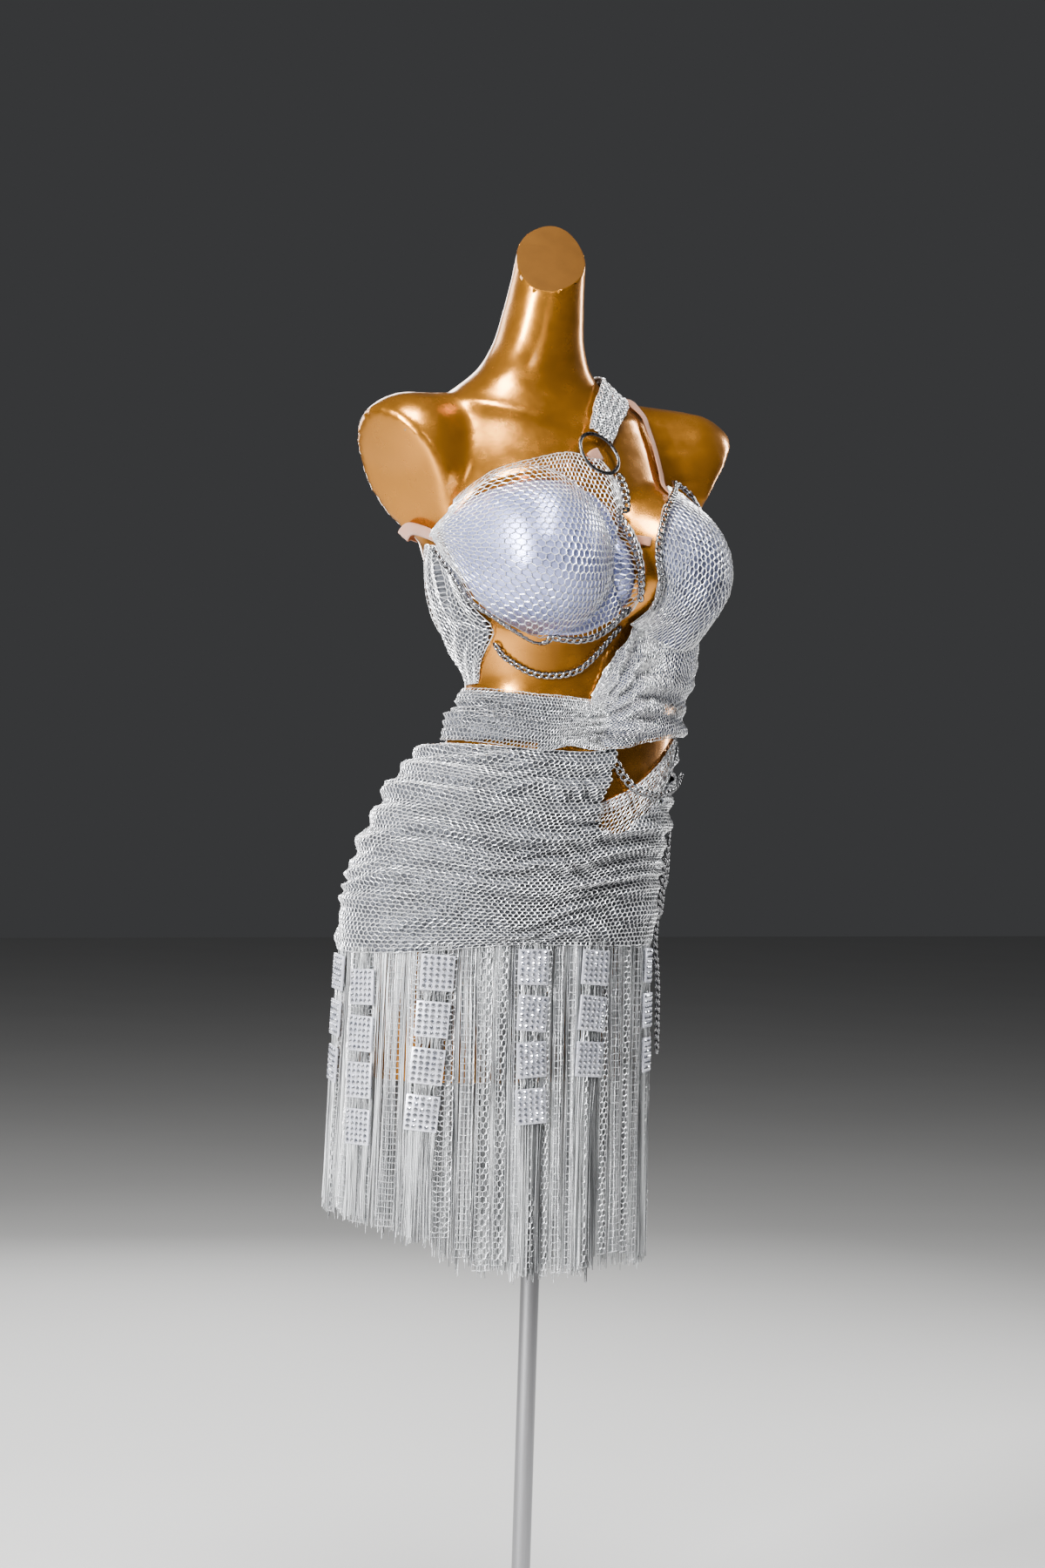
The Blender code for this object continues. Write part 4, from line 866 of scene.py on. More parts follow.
CUP_RIGHT = (
    (188.5, 1.262, 189.5, 1.240),
    (196, 1.275, 193, 1.214),
    (206, 1.290, 198, 1.196),
    (218, 1.300, 208, 1.182),
    (232, 1.305, 220, 1.170),
    (246, 1.305, 234, 1.168),
    (260, 1.302, 248, 1.170),
    (271, 1.295, 262, 1.178),
    (279, 1.280, 275, 1.188),
    (283, 1.250, 281.5, 1.198),
)
CUP_LEFT = (
    (294.5, 1.245, 294.5, 1.222),
    (298, 1.263, 296, 1.200),
    (305, 1.280, 300, 1.182),
    (314, 1.293, 309, 1.170),
    (324, 1.303, 320, 1.163),
    (332, 1.306, 331, 1.165),
    (339, 1.296, 341, 1.172),
    (345, 1.280, 349, 1.186),
    (350, 1.258, 354, 1.210),
    (353, 1.244, 355, 1.228),
)
NET_RIGHT = (
    (186.0, 1.2585, 187.0, 1.247),
    (196, 1.286, 190.5, 1.222),
    (206, 1.308, 195.5, 1.196),
    (215.5, 1.323, 205, 1.181),
    (230.5, 1.334, 218, 1.166),
    (244, 1.341, 232, 1.157),
    (257, 1.344, 247, 1.158),
    (270, 1.340, 262, 1.167),
    (282, 1.336, 275, 1.178),
    (289, 1.308, 283.5, 1.190),
    (286.5, 1.270, 285.0, 1.205),
)
SIDE_NET = (
    (177, 1.250, 184.4, 1.243),
    (173, 1.236, 185.6, 1.230),
    (168, 1.215, 188.5, 1.210),
    (165, 1.190, 193.0, 1.188),
    (164, 1.168, 202.0, 1.166),
    (165, 1.145, 196, 1.145),
    (167, 1.124, 188, 1.126),
    (169, 1.106, 183, 1.108),
)
DRAPE_LEFT = (
    (249.5, 1.098, 250, 1.074),
    (256, 1.116, 256, 1.058),
    (265, 1.136, 266, 1.044),
    (274, 1.150, 277, 1.043),
    (281.5, 1.164, 288, 1.046),
    (289.0, 1.190, 296, 1.050),
    (290.2, 1.215, 304, 1.053),
    (290.6, 1.236, 312, 1.055),
    (292.5, 1.252, 319, 1.057),
    (298, 1.272, 326, 1.059),
    (305, 1.289, 334, 1.060),
    (314, 1.302, 342, 1.061),
    (324, 1.315, 350, 1.061),
    (333, 1.318, 358, 1.061),
    (341, 1.299, 367, 1.060),
    (351, 1.275, 378, 1.059),
    (365, 1.249, 392, 1.058),
    (384, 1.225, 408, 1.058),
    (402, 1.185, 424, 1.058),
    (420, 1.150, 438, 1.059),
    (434, 1.118, 443, 1.066),
)
CUP_RISE = 6.0 * MM
LEFT_CUP_RISE = 9.0 * MM
RIGHT_NET_LIFT = 2.3 * MM
NET_ARMPIT_LIFT = 0.8 * MM
NET_OVER_CUP = 6.7 * MM
RISE_SPARE, LEFT_RISE_SPARE = 0.8 * MM, 1.6 * MM
# The net stands off the form where it spans from cup to cup: height, angle and half turn, height and half height.
NET_BRIDGE = 4.5 * MM
NET_BRIDGE_AT, NET_BRIDGE_TURN = 276, 7
NET_BRIDGE_Z, NET_BRIDGE_HIGH = 1.245, 0.04
SATIN_UNDER_NET = 1.5 * MM
SATIN_UNDER_LEFT = 1.6 * MM
CUP_PAD = 4.5 * MM
SIDE_HOLLOW, SIDE_CREASE = 8.0 * MM, 1.1 * MM


def on_left(theta):
    return np.clip((theta - 288) / 6, 0, 1)


def net_height(theta, z, across, down):
    """The net over the cups, a little higher at the armpit and between the cups."""
    rise = CUP_RISE + RISE_SPARE + (LEFT_CUP_RISE + LEFT_RISE_SPARE - CUP_RISE) * on_left(theta)
    armpit = NET_ARMPIT_LIFT * np.clip((204 - theta) / 10, 0, 1)
    bridge = NET_BRIDGE * np.exp(-((theta - NET_BRIDGE_AT) / NET_BRIDGE_TURN) ** 2) * np.exp(
        -((z - NET_BRIDGE_Z) / NET_BRIDGE_HIGH) ** 2)
    return NET_OVER_CUP + RIGHT_NET_LIFT * (1 - on_left(theta)) + armpit + bridge + rise * bust_swell(theta, z)


def edge_sink(across, down, width=0.10):
    """1 in the middle of a cup, falling to 0 at its edge, where the satin turns in to the form."""
    near = np.minimum(np.minimum(across, 1 - across), np.minimum(down, 1 - down))
    return ease(0, width, near)


def satin_height(theta, z, across, down):
    """The padded satin lies just under the net, and turns in a little at its edges."""
    under = SATIN_UNDER_NET + SATIN_UNDER_LEFT * on_left(theta)
    return net_height(theta, z, across, down) - under - CUP_PAD * (1 - edge_sink(across, down, 0.07))


def side_net_height(theta, z, across, down):
    """The side net bridges the hollow of the waist. Its first cross line is its top end."""
    crease = SIDE_CREASE * np.sin(TAU * (down * 3 + across * 1.5 + 0.3 * np.sin(9 * across)))
    hollow = SIDE_HOLLOW * np.sin(math.pi * across) ** 2 * (0.45 + 0.55 * (1 - down))
    return ON_FORM + NET_THICK + crease + hollow


DRAPE_FOLDS = 5
DRAPE_FOLD_DEPTH = 5.0 * MM
DRAPE_FOLD_TOP = 1.17
DRAPE_HOLLOW = 17.0 * MM
DRAPE_HOLLOW_Z, DRAPE_HOLLOW_HALF = 1.148, 0.036
DRAPE_ARMPIT = 5.0 * MM
DRAPE_FINE, DRAPE_FAN_FOLDS = 1.9 * MM, 26
DRAPE_FAN_AT, DRAPE_FAN_Z, METRES_A_DEGREE = 246, 1.070, 0.0022
DRAPE_GATHER = 6.0 * MM


def drape_left_height(theta, z, across, down):
    """Folds fan out of the gather at the waist, and fade over the cup."""
    fade = np.clip((DRAPE_FOLD_TOP - z) / 0.10, 0, 1) * np.clip(across / 0.12, 0, 1)
    fold = 0.5 - 0.5 * np.cos(TAU * DRAPE_FOLDS * np.clip((DRAPE_FOLD_TOP - z) / 0.115, 0, 1.0))
    hollow = DRAPE_HOLLOW * np.exp(-((z - DRAPE_HOLLOW_Z) / DRAPE_HOLLOW_HALF) ** 2)
    hollow = hollow * np.clip((theta - 285) / 30, 0, 1) * np.clip((400 - theta) / 40, 0, 1)
    armpit = DRAPE_ARMPIT * np.clip((z - 1.235) / 0.02, 0, 1) * np.clip((theta - 330) / 8, 0, 1)
    fan = np.arctan2(z - DRAPE_FAN_Z, (theta - DRAPE_FAN_AT) * METRES_A_DEGREE)
    fine = DRAPE_FINE * np.sin(fan * DRAPE_FAN_FOLDS + 2.2 * np.sin(theta * 0.06)) * ease(0.02, 0.15, across)
    fine = fine * (1 - ease(1.14, 1.24, z))
    gather = DRAPE_GATHER * (1 - ease(0.02, 0.20, across)) * (1 - ease(1.12, 1.16, z))
    return net_height(theta, z, across, down) + DRAPE_FOLD_DEPTH * fade * fold + hollow + armpit + fine - gather


NET_CELL, NET_STRAND = 5.0 * MM, 1.25 * MM
CELL_RISE = 0.866
# How much wider the cells are, or thicker the strands, than the settings say.
CUP_NET_CELL = 1.24
DRAPE_NET_CELL, DRAPE_NET_STRAND = 0.92, 0.8
STRAP_NET_CELL = 0.95
WAIST_NET_STRAND = 0.85
HIP_CELL, HIP_CELL_ACROSS, HIP_CELL_DOWN = 1.1, 1.25, 0.80
SINGLE_CELL, SINGLE_STRAND, SINGLE_HEM_STRAND = 1.15, 1.15, 1.3
RIBBON_STRAND = 0.86


def net_count(width, height, cell):
    """Columns and rows of a net with cells of a width: two columns to a cell, rows at 0.866 of a cell."""
    cols = max(4, 2 * round(width / cell))
    return cols, max(3, round(height / (cell * CELL_RISE)))


def right_warp(u, v):
    """Cells lie close along the neckline and the left edge, and open on the cup."""
    return u + 0.05 * np.sin(TAU * u), v ** 1.14


def build_cups(settings):
    size = (0.235, 0.190)
    cols, rows = net_count(*size, settings.net_cell * CUP_NET_CELL)
    bm = net_bmesh(cols, rows, on_panel(NET_RIGHT, net_height, right_warp), size, seed=1)
    net = add_net("net_bodice_right", bm, settings.net_strand, LOOKS["net"], ("bodice_net_right",))
    for name, edges, size, over in (
        ("cup_right", CUP_RIGHT, (0.230, 0.165), [net]), ("cup_left", CUP_LEFT, (0.200, 0.160), []),
    ):
        place = on_panel(edges, satin_height, lambda u, v: (u, 1.12 * v - 0.05))
        shell = cloth_shell("satin_" + name, 40, 32, place, size, LOOKS["satin"],
                            0.9 * MM, (name,))


def build_bodice_nets(settings):
    strand, cell = settings.net_strand, settings.net_cell
    size = (0.140, 0.078)
    cols, rows = net_count(*size, cell)
    bm = net_bmesh(cols, rows, on_panel(SIDE_NET, side_net_height), size, seed=2)
    net = add_net("net_side_right", bm, strand, LOOKS["net"], ("side_net_right",))
    under = on_panel(SIDE_NET, lambda *a: side_net_height(*a) - 1.3 * MM, lambda u, v: (u, 0.04 + 0.92 * v))
    shell = cloth_shell("side_lining", 60, 40, under, size, LOOKS["backing"], 0.5 * MM, ())

    size = (0.330, 0.230)
    cols, rows = net_count(0.36, 0.215, cell * DRAPE_NET_CELL)
    bm = net_bmesh(cols, rows, on_panel(DRAPE_LEFT, drape_left_height), size, seed=4)
    net = add_net("net_drape_left", bm, DRAPE_NET_STRAND * strand, LOOKS["net"], ("bodice_drape_left",))

    def see_through(c):
        return 1.082 < c.z < 1.092 and 306 < angle_of(c) < 342

    back = on_panel(DRAPE_LEFT, lambda *a: drape_left_height(*a) - 1.5 * MM,
                    lambda u, v: (0.012 + 0.976 * u, 0.02 + 0.96 * v))
    shell = cloth_shell("drape_left_lining", 84, 60, back, size, LOOKS["backing_bodice"], 0.5 * MM, (),
                        see_through)


# Elastic straps and the net strap: (theta, z, width) on the form, or (x, y, z, width).

BRIDGE = ((285.6, 1.2600, 0.010), (288.6, 1.2590, 0.010), (291.8, 1.2575, 0.010))
BRA_BAND = (
    (186.6, 1.2525, 0.010),
    (181, 1.262, 0.013),
    (172, 1.266, 0.014),
    (150, 1.264, 0.014),
    (120, 1.260, 0.014),
    (90, 1.256, 0.014),
    (60, 1.252, 0.014),
    (30, 1.244, 0.014),
    (10, 1.238, 0.013),
    (-3.0, 1.235, 0.012),
)
STRAP_ELASTIC = (
    (0.106, -0.064, 1.311, 0.011),
    (0.103, -0.043, 1.332, 0.011),
    (0.102, -0.034, 1.355, 0.011),
    (0.100, -0.019, 1.385, 0.011),
    (0.099, 0.000, 1.403, 0.011),
    (0.098, 0.024, 1.409, 0.011),
    (0.096, 0.048, 1.405, 0.011),
    (0.088, 0.077, 1.381, 0.011),
    (0.084, 0.089, 1.348, 0.011),
    (0.083, 0.093, 1.318, 0.011),
    (0.083, 0.094, 1.290, 0.011),
    (0.082, 0.092, 1.259, 0.011),
)
STRAP_CROSS = ((275.5, 1.3430, 0.013), (280, 1.3470, 0.014), (285.5, 1.3500, 0.014))
STRAP_NET = (
    (0.0167, -0.0532, 1.3675, 0.030),
    (0.030, -0.042, 1.387, 0.034),
    (0.046, -0.028, 1.406, 0.038),
    (0.061, -0.006, 1.419, 0.040),
    (0.068, 0.021, 1.421, 0.040),
    (0.070, 0.050, 1.413, 0.040),
    (0.068, 0.076, 1.395, 0.038),
    (0.064, 0.091, 1.370, 0.035),
    (0.061, 0.099, 1.338, 0.032),
    (0.061, 0.101, 1.303, 0.030),
    (0.060, 0.099, 1.264, 0.030),
)
STRAP_PLEATS = 5
STRAP_PLEAT_DEPTH = 2.2 * MM
STRAP_NET_OFF = 3.9 * MM
RING_RADIUS = 0.0245
RING_WIRE = 1.7 * MM
RING_CENTRE = (279.5, 1.3455)
RING_LIFT = 10.1 * MM
RING_NORMAL = (0.10, -0.86, 0.50)
RAY_START = 0.03
BAND_LIFT_RIGHT, BAND_LIFT_LEFT = 6.0, 1.8
STRAP_CREST, STRAP_NET_CREST = 3.4 * MM, 3.2 * MM
STRAP_CROWN = 0.25 * MM

FORM_TREES = {}


def form_tree():
    """The fine form's faces, for laying straps on it."""
    if not FORM_TREES:
        mesh = bpy.data.objects["form_skin"].data
        FORM_TREES["skin"] = BVHTree.FromPolygons([v.co for v in mesh.vertices],
                                                  [tuple(p.vertices) for p in mesh.polygons])
    return FORM_TREES["skin"]


def on_surface(theta_z_width):
    table = np.array(theta_z_width, float)
    return np.column_stack([form_point(np.radians(table[:, 0]), table[:, 1]), table[:, 2]])


def ribbon_rows(path, count):
    """A ribbon's centres, widths, sideways and outward directions along a line over the form."""
    line = spread(path, count)
    centres = line[:, :3]
    normals = np.array([form_tree().find_nearest(Vector(p))[1] for p in centres])
    for _ in range(4):
        padded = np.concatenate([normals[:1], normals, normals[-1:]])
        normals = padded[:-2] + padded[1:-1] + padded[2:]
        normals /= np.linalg.norm(normals, axis=1, keepdims=True)
    along = np.gradient(centres, axis=0)
    side = np.cross(normals, along)
    side /= np.linalg.norm(side, axis=1, keepdims=True)
    outward = np.cross(along, side)
    outward /= np.linalg.norm(outward, axis=1, keepdims=True)
    return centres, line[:, 3], side, outward


def on_ribbon(path, height, count=90):
    """A place function for a ribbon: across it first, then along it."""
    centres, widths, side, outward = ribbon_rows(path, count)
    tree = form_tree()

    def place(u, v):
        at = np.asarray(v) * (count - 1)
        k = np.clip(at.astype(int), 0, count - 2)
        t = (at - k)[:, None]

        def blend(rows):
            return rows[k] * (1 - t) + rows[k + 1] * t
        middle, wide, sideways, out = blend(centres), blend(widths[:, None]), blend(side), blend(outward)
        start = middle + sideways * wide * (np.asarray(u)[:, None] - 0.5)
        points = []
        for p, n, a, b in zip(start, out, u, v):
            hit = tree.ray_cast(Vector(p + n * RAY_START), Vector(-n), 2 * RAY_START)[0]
            if hit is None:
                hit = tree.find_nearest(Vector(p))[0]
            points.append(np.array(hit) + n * height(p, b, a))
        return np.array(points)
    return place


def ramp(value, start, width):
    """0 below a start, rising evenly to 1 over a width."""
    return min(max((value - start) / width, 0), 1)


def elastic_height(point, along, across):
    """On the form, and a little higher over the bends round the shoulder stumps."""
    bend = ramp(abs(point[0]), 0.095, 0.020)
    low = ramp(point[2], 1.215, 0.015) * (point[2] < 1.3)
    armpit = (BAND_LIFT_RIGHT if point[0] < 0 else BAND_LIFT_LEFT) * MM * bend * low
    crest = STRAP_CREST * ramp(point[2], 1.305, 0.030) * (point[0] > 0.06)
    crown = STRAP_CROWN * (1 - abs(2 * across - 1) ** 6)
    return ON_FORM + 0.5 * MM + armpit + crest + crown


def strap_net_height(point, along, across):
    """Pleats along the strap, and a little higher over the shoulder."""
    uneven = 0.5 * math.sin(7 * along + 3 * across) + 0.25 * math.sin(19 * along)
    pleat = 0.5 - 0.5 * math.cos(TAU * (STRAP_PLEATS * across + 0.16 * uneven))
    crest = STRAP_NET_CREST * ramp(point[2], 1.320, 0.030)
    return STRAP_NET_OFF + STRAP_PLEAT_DEPTH * pleat + crest


def ring_frame():
    """The ring's centre, with two directions across it and one through it."""
    middle = lay(np.array(RING_CENTRE[0]), np.array(RING_CENTRE[1]), np.array(RING_LIFT))
    through = np.array(RING_NORMAL) / np.linalg.norm(RING_NORMAL)
    across = np.cross((0, 0, 1), through)
    across /= np.linalg.norm(across)
    return middle, across, np.cross(through, across), through


def build_straps(settings):
    elastic = LOOKS["elastic"]
    for name, node, path, cols, rows, size in (
        ("elastic_bridge", "bra_bridge", on_surface(BRIDGE), 6, 6, (0.010, 0.018)),
        ("elastic_band", "bra_band", on_surface(BRA_BAND), 6, 90, (0.013, 0.470)),
        ("elastic_strap_left", "strap_elastic_left", STRAP_ELASTIC, 6, 80, (0.011, 0.310)),
        ("elastic_through_ring", "strap_elastic_cross", on_surface(STRAP_CROSS), 6, 8, (0.014, 0.022)),
    ):
        shell = cloth_shell(name, cols, rows, on_ribbon(path, elastic_height), size, elastic, 1.0 * MM, (node,))

    size = (0.045, 0.325)
    place = on_ribbon(STRAP_NET, strap_net_height)
    cols, rows = net_count(0.055, size[1], settings.net_cell * STRAP_NET_CELL)
    bm = net_bmesh(cols, rows, place, size, seed=6)
    net = add_net("net_strap_left", bm, settings.net_strand, LOOKS["net"], ("strap_net_left",))
    back = on_ribbon(STRAP_NET, lambda p, a, c: strap_net_height(p, a, c) - 1.3 * MM)
    shell = cloth_shell("strap_net_lining", 40, 90, lambda u, v: back(0.02 + 0.96 * u, 0.005 + 0.99 * v), size,
                        LOOKS["backing"], 0.5 * MM, ())
    build_ring()


def build_ring():
    """A ring of flat polished wire."""
    middle, across, up, through = ring_frame()
    bm = bmesh.new()
    wire = bmesh.ops.create_circle(bm, cap_ends=False, segments=12, radius=1.0)["verts"]
    bmesh.ops.scale(bm, vec=(1.25 * RING_WIRE, 0.85 * RING_WIRE, 1), verts=wire)
    bmesh.ops.translate(bm, vec=(RING_RADIUS, 0, 0), verts=wire)
    bmesh.ops.rotate(bm, cent=(0, 0, 0), matrix=Matrix.Rotation(math.pi / 2, 3, "X"), verts=wire)
    bmesh.ops.spin(bm, geom=bm.verts[:] + bm.edges[:], cent=(0, 0, 0), axis=(0, 0, 1), angle=TAU, steps=72,
                   use_merge=True)
    bmesh.ops.remove_doubles(bm, verts=bm.verts, dist=1e-6)
    bmesh.ops.recalc_face_normals(bm, faces=bm.faces)
    bmesh.ops.transform(bm, matrix=frame_matrix(middle, across, up, through), verts=bm.verts)
    add_piece("ring_gunmetal", bm, LOOKS["gunmetal"], ("neck_ring",))


# The waist and the hips

WAIST_LINES = (
    (266.0, 1.086, 268.0, 1.040),
    (253.0, 1.092, 252.0, 1.042),
    (241, 1.094, 241, 1.044),
    (230, 1.096, 230, 1.037),
    (216, 1.097, 216, 1.039),
    (201, 1.100, 201, 1.0425),
    (180, 1.102, 180, 1.0445),
    (150, 1.101, 150, 1.0450),
    (120, 1.100, 120, 1.0460),
    (100, 1.100, 100, 1.0460),
    (85, 1.100, 85, 1.0460),
)
# How far the waist band stands off the form in millimetres, from its upper edge (0) to its lower (1).
WAIST_PUSH = np.array([
    (0.0, 1.8), (0.18, 5.0), (0.36, 3.0), (0.58, 8.5), (0.78, 6.0), (1.0, 5.2),
])

# One row for each fold line round the hips, ridges and valleys in turn: heights in metres at the right side, the
# front, the left side and the back, then how far it stands off the form in millimetres.
HIP_FOLDS = np.array((
    (1.0420, 1.0380, 1.0590, 1.0480, 1.6, 1.6, 1.6, 1.6),
    (1.0270, 1.0230, 1.0400, 1.0320, 20, 9, 6, 9),
    (1.0180, 1.0120, 1.0260, 1.0200, 15, 5, 3, 5),
    (1.0080, 0.9990, 1.0140, 1.0080, 22, 12, 9, 11),
    (0.9970, 0.9870, 1.0010, 0.9960, 15, 7, 5, 7),
    (0.9850, 0.9730, 0.9900, 0.9840, 21, 13, 11, 12),
    (0.9730, 0.9610, 0.9790, 0.9720, 13, 8, 7, 8),
    (0.9600, 0.9460, 0.9660, 0.9590, 17, 13, 12, 12),
    (0.9480, 0.9330, 0.9550, 0.9470, 10, 8, 8, 8),
    (0.9350, 0.9190, 0.9430, 0.9340, 14, 12, 11, 11),
    (0.9220, 0.9080, 0.9330, 0.9220, 9, 8, 8, 8),
    (0.9080, 0.8950, 0.9210, 0.9090, 12, 11, 10, 10),
    (0.8930, 0.8840, 0.9100, 0.8950, 8, 7, 8, 7),
    (0.8780, 0.8710, 0.8950, 0.8810, 10, 9, 9, 9),
    (0.8620, 0.8590, 0.8760, 0.8660, 7, 7, 7, 7),
    (0.8450, 0.8500, 0.8580, 0.8490, 8, 8, 8, 8),
    (0.8280, 0.8420, 0.8400, 0.8330, 6.6, 6.4, 6.4, 6.4),
))
SIDE_ANGLES = (175.0, 250.0, 330.0, 450.0)
# The slanting opening on the left hip: angle, the opening's lower edge, and the edge of the folds below it.
HIP_OPENING = np.array([
    (277.5, 0.984, 0.974),
    (283.0, 0.987, 0.960),
    (290.0, 0.992, 0.955),
    (303.0, 1.004, 0.962),
    (320.0, 1.032, 0.990),
    (330.0, 1.052, 1.014),
    (338.0, 1.060, 1.045),
])
OPENING_START, OPENING_END = 277.5, 338.0
HIP_TURN, HIP_GIRTH = even_turn(65.0, 425.0, 0.92)
BACK_SHARE = 1 / 6
WRINKLE_LINES, WRINKLE_SHARP = 12.5, 1.4
WRINKLE_SIZE, WRINKLE_UNEVEN = 0.72, 0.42
WRINKLE_DEPTH, WRINKLE_MIDDLE = 4.6 * MM, 0.25
WAIST_CREASE, WAIST_CREASE_PITCH = 4.6, 0.0085
# The single net in the slanting opening: its first and last angle, and how far it goes under the folds below.
SINGLE_START, SINGLE_END, SINGLE_BELOW = 277.0, 344.0, 0.012


def round_body(theta, values):
    """A value round the body from its values at the right side, front, left side and back."""
    theta = (theta - SIDE_ANGLES[0]) % 360 + SIDE_ANGLES[0]
    stations = np.array(SIDE_ANGLES + (SIDE_ANGLES[0] + 360,))
    levels = np.array(tuple(values) + (values[0],))
    i = np.clip(np.searchsorted(stations, theta, side="right") - 1, 0, 3)
    t = (theta - stations[i]) / (stations[i + 1] - stations[i])
    t = t * t * (3 - 2 * t)
    return levels[i] * (1 - t) + levels[i + 1] * t


def hip_at(theta, v):
    """Height and stand-off of the hip wrap at an angle and a place from its top (0) to its lower edge (1)."""
    rows = np.array([round_body(theta, fold[:4]) for fold in HIP_FOLDS])
    offs = np.array([round_body(theta, fold[4:]) for fold in HIP_FOLDS])
    n = len(HIP_FOLDS) - 1
    drift = 0.25 * wander(21, theta / 150, v * 1.2) * np.sin(math.pi * v)
    at = np.clip(v * n + drift, 0, n)
    k = np.clip(at.astype(int), 0, n - 1)
    t = at - k
    pick = np.arange(len(theta))
    z = rows[k, pick] * (1 - t) + rows[k + 1, pick] * t
    t = 0.5 - 0.5 * np.cos(math.pi * t)
    off = offs[k, pick] * (1 - t) + offs[k + 1, pick] * t
    return z, off * MM


def wrinkle(theta, v):
    """Rope-like folds between the large ones, uneven in height and spacing, joining here and there."""
    turn = np.radians(theta)
    lines = WRINKLE_LINES * v + wander(31, theta / 55, v * 2.2) + 0.8 * np.sin(2 * turn)
    size = WRINKLE_SIZE + WRINKLE_UNEVEN * wander(33, theta / 40, v * 5)
    return size * (0.5 + 0.5 * np.sin(TAU * lines)) ** WRINKLE_SHARP


def on_hips(lift, start=0.0, stop=1.0):
    """A place function for the hip wrap: once round the body from the left of the front, and down."""
    def place(u, v):
        theta = HIP_TURN(start + (stop - start) * np.asarray(u))
        v = np.asarray(v)
        z, off = hip_at(theta, v)
        free = ease(0.0, 0.06, v) * ease(0.0, 0.04, 1 - v)
        return lay(theta, z, off + lift + WRINKLE_DEPTH * (wrinkle(theta, v) - WRINKLE_MIDDLE) * free)
    return place


def above_folds(c):
    """Whether a point of the hips lies in the opening or over the single net below it."""
    angle = angle_of(c)
    if not OPENING_START < angle < OPENING_END:
        return False
    return c.z > float(curve_at(HIP_OPENING, angle, 2))


def waist_height(theta, z, across, down):
    """The band stands off the form by WAIST_PUSH, less at its first end, with creases along it."""
    free = np.clip(across / 0.08, 0, 1)
    push = curve_at(WAIST_PUSH, down, 1)
    side = 1 + 0.5 * np.exp(-((theta - 180) / 25) ** 2)
    low = np.where(down > 0.9, push, push * side)
    lines = z / WAIST_CREASE_PITCH + 0.8 * wander(41, theta / 50, z * 8)
    crease = WAIST_CREASE * (0.5 + 0.5 * np.sin(TAU * lines)) * np.sin(math.pi * down)
    return (1.0 + crease + (low - 1.0) * np.maximum(free, down > 0.9)) * MM


def build_waist(settings):
    size = (0.420, 0.060)
    cols, rows = net_count(0.42, 0.072, settings.net_cell)
    bm = net_bmesh(cols, rows, on_panel(WAIST_LINES, lambda *a: waist_height(*a) + 0.6 * MM), size, seed=8)
    net = add_net("net_waist", bm, WAIST_NET_STRAND * settings.net_strand, LOOKS["net"], ("waist_band",))

    def see_through(c):
        return c.z < 1.0485 and 172 < angle_of(c) < 226

    back = on_panel(WAIST_LINES, lambda *a: waist_height(*a) - 0.6 * MM,
                    lambda u, v: (0.01 + 0.98 * u, 0.03 + 0.94 * v))
    shell = cloth_shell("waist_lining", 110, 26, back, size, LOOKS["backing"], 0.5 * MM, (),
                        see_through)


def build_hips(settings):
    cell, strand = settings.net_cell * HIP_CELL, settings.net_strand
    size = (HIP_GIRTH + 0.04, 0.245)
    for name, start, stop, seed in (("net_hips_back", 0.0, BACK_SHARE, 9), ("net_hips", BACK_SHARE, 1.0, 10)):
        flat = (size[0] * (stop - start), size[1])
        cols, rows = net_count(*flat, HIP_CELL_ACROSS * cell)[0], net_count(*size, HIP_CELL_DOWN * cell)[1]
        bm = net_bmesh(cols, rows, on_hips(1.3 * MM, start, stop), flat, seed=seed, unwanted=above_folds)
        stands_for = ("hip_wrap",) if start else ()
        add_net(name, bm, strand, LOOKS["net"], stands_for)

    def single(u, v):
        theta = SINGLE_START + (SINGLE_END - SINGLE_START) * np.asarray(u)
        top, low = curve_at(HIP_OPENING, theta, 1), curve_at(HIP_OPENING, theta, 2) - SINGLE_BELOW
        z = top * (1 - v) + low * v
        return lay(theta, z, (2.0 + 2.6 * np.asarray(v)) * MM)
    flat = (0.145, 0.055)
    cols, rows = net_count(*flat, settings.net_cell * SINGLE_CELL)
    add_net("net_hip_single_layer", net_bmesh(cols, rows, single, flat, seed=11),
                        strand * SINGLE_STRAND, LOOKS["net"], ())
    hem = net_bmesh(cols, 3, lambda u, v: single(u + 0.4 / cols, 0.26 * v), (flat[0], 0.014), seed=12)
    add_net("net_hip_single_hem", hem, strand * SINGLE_HEM_STRAND, LOOKS["net"], ())
    shell = cloth_shell("hips_lining", 132, 72, on_hips(0.1 * MM), size, LOOKS["backing"], 0.5 * MM, (),
                        above_folds, closed=True)


# The skirt

# At the right side, the front, the left side and the back: the fringe's lower end, and its flare in millimetres.
HEM = (0.560, 0.505, 0.505, 0.520)
FLARE = (7.0, 8.0, 5.0, 9.0)
ROOT_LOW = 4 * MM


def outward_level(theta_deg, z):
    n = form_normal(np.radians(theta_deg), z) * (1, 1, 0)
    return n / np.linalg.norm(n, axis=-1, keepdims=True)


def skirt_top(theta):
    return round_body(theta, HIP_FOLDS[-1][:4])


def hang(theta, z, height):
    """A point of the skirt: straight down from the hips' lower edge, a little flared."""
    top = skirt_top(theta)
    root = lay(theta, np.maximum(z, top - ROOT_LOW), height)
    drop = np.clip((top - z) / (top - round_body(theta, HEM)), 0, 1)
    p = root + outward_level(theta, top) * (round_body(theta, FLARE) * MM * drop)[..., None]
    p[..., 2] = z
    return p


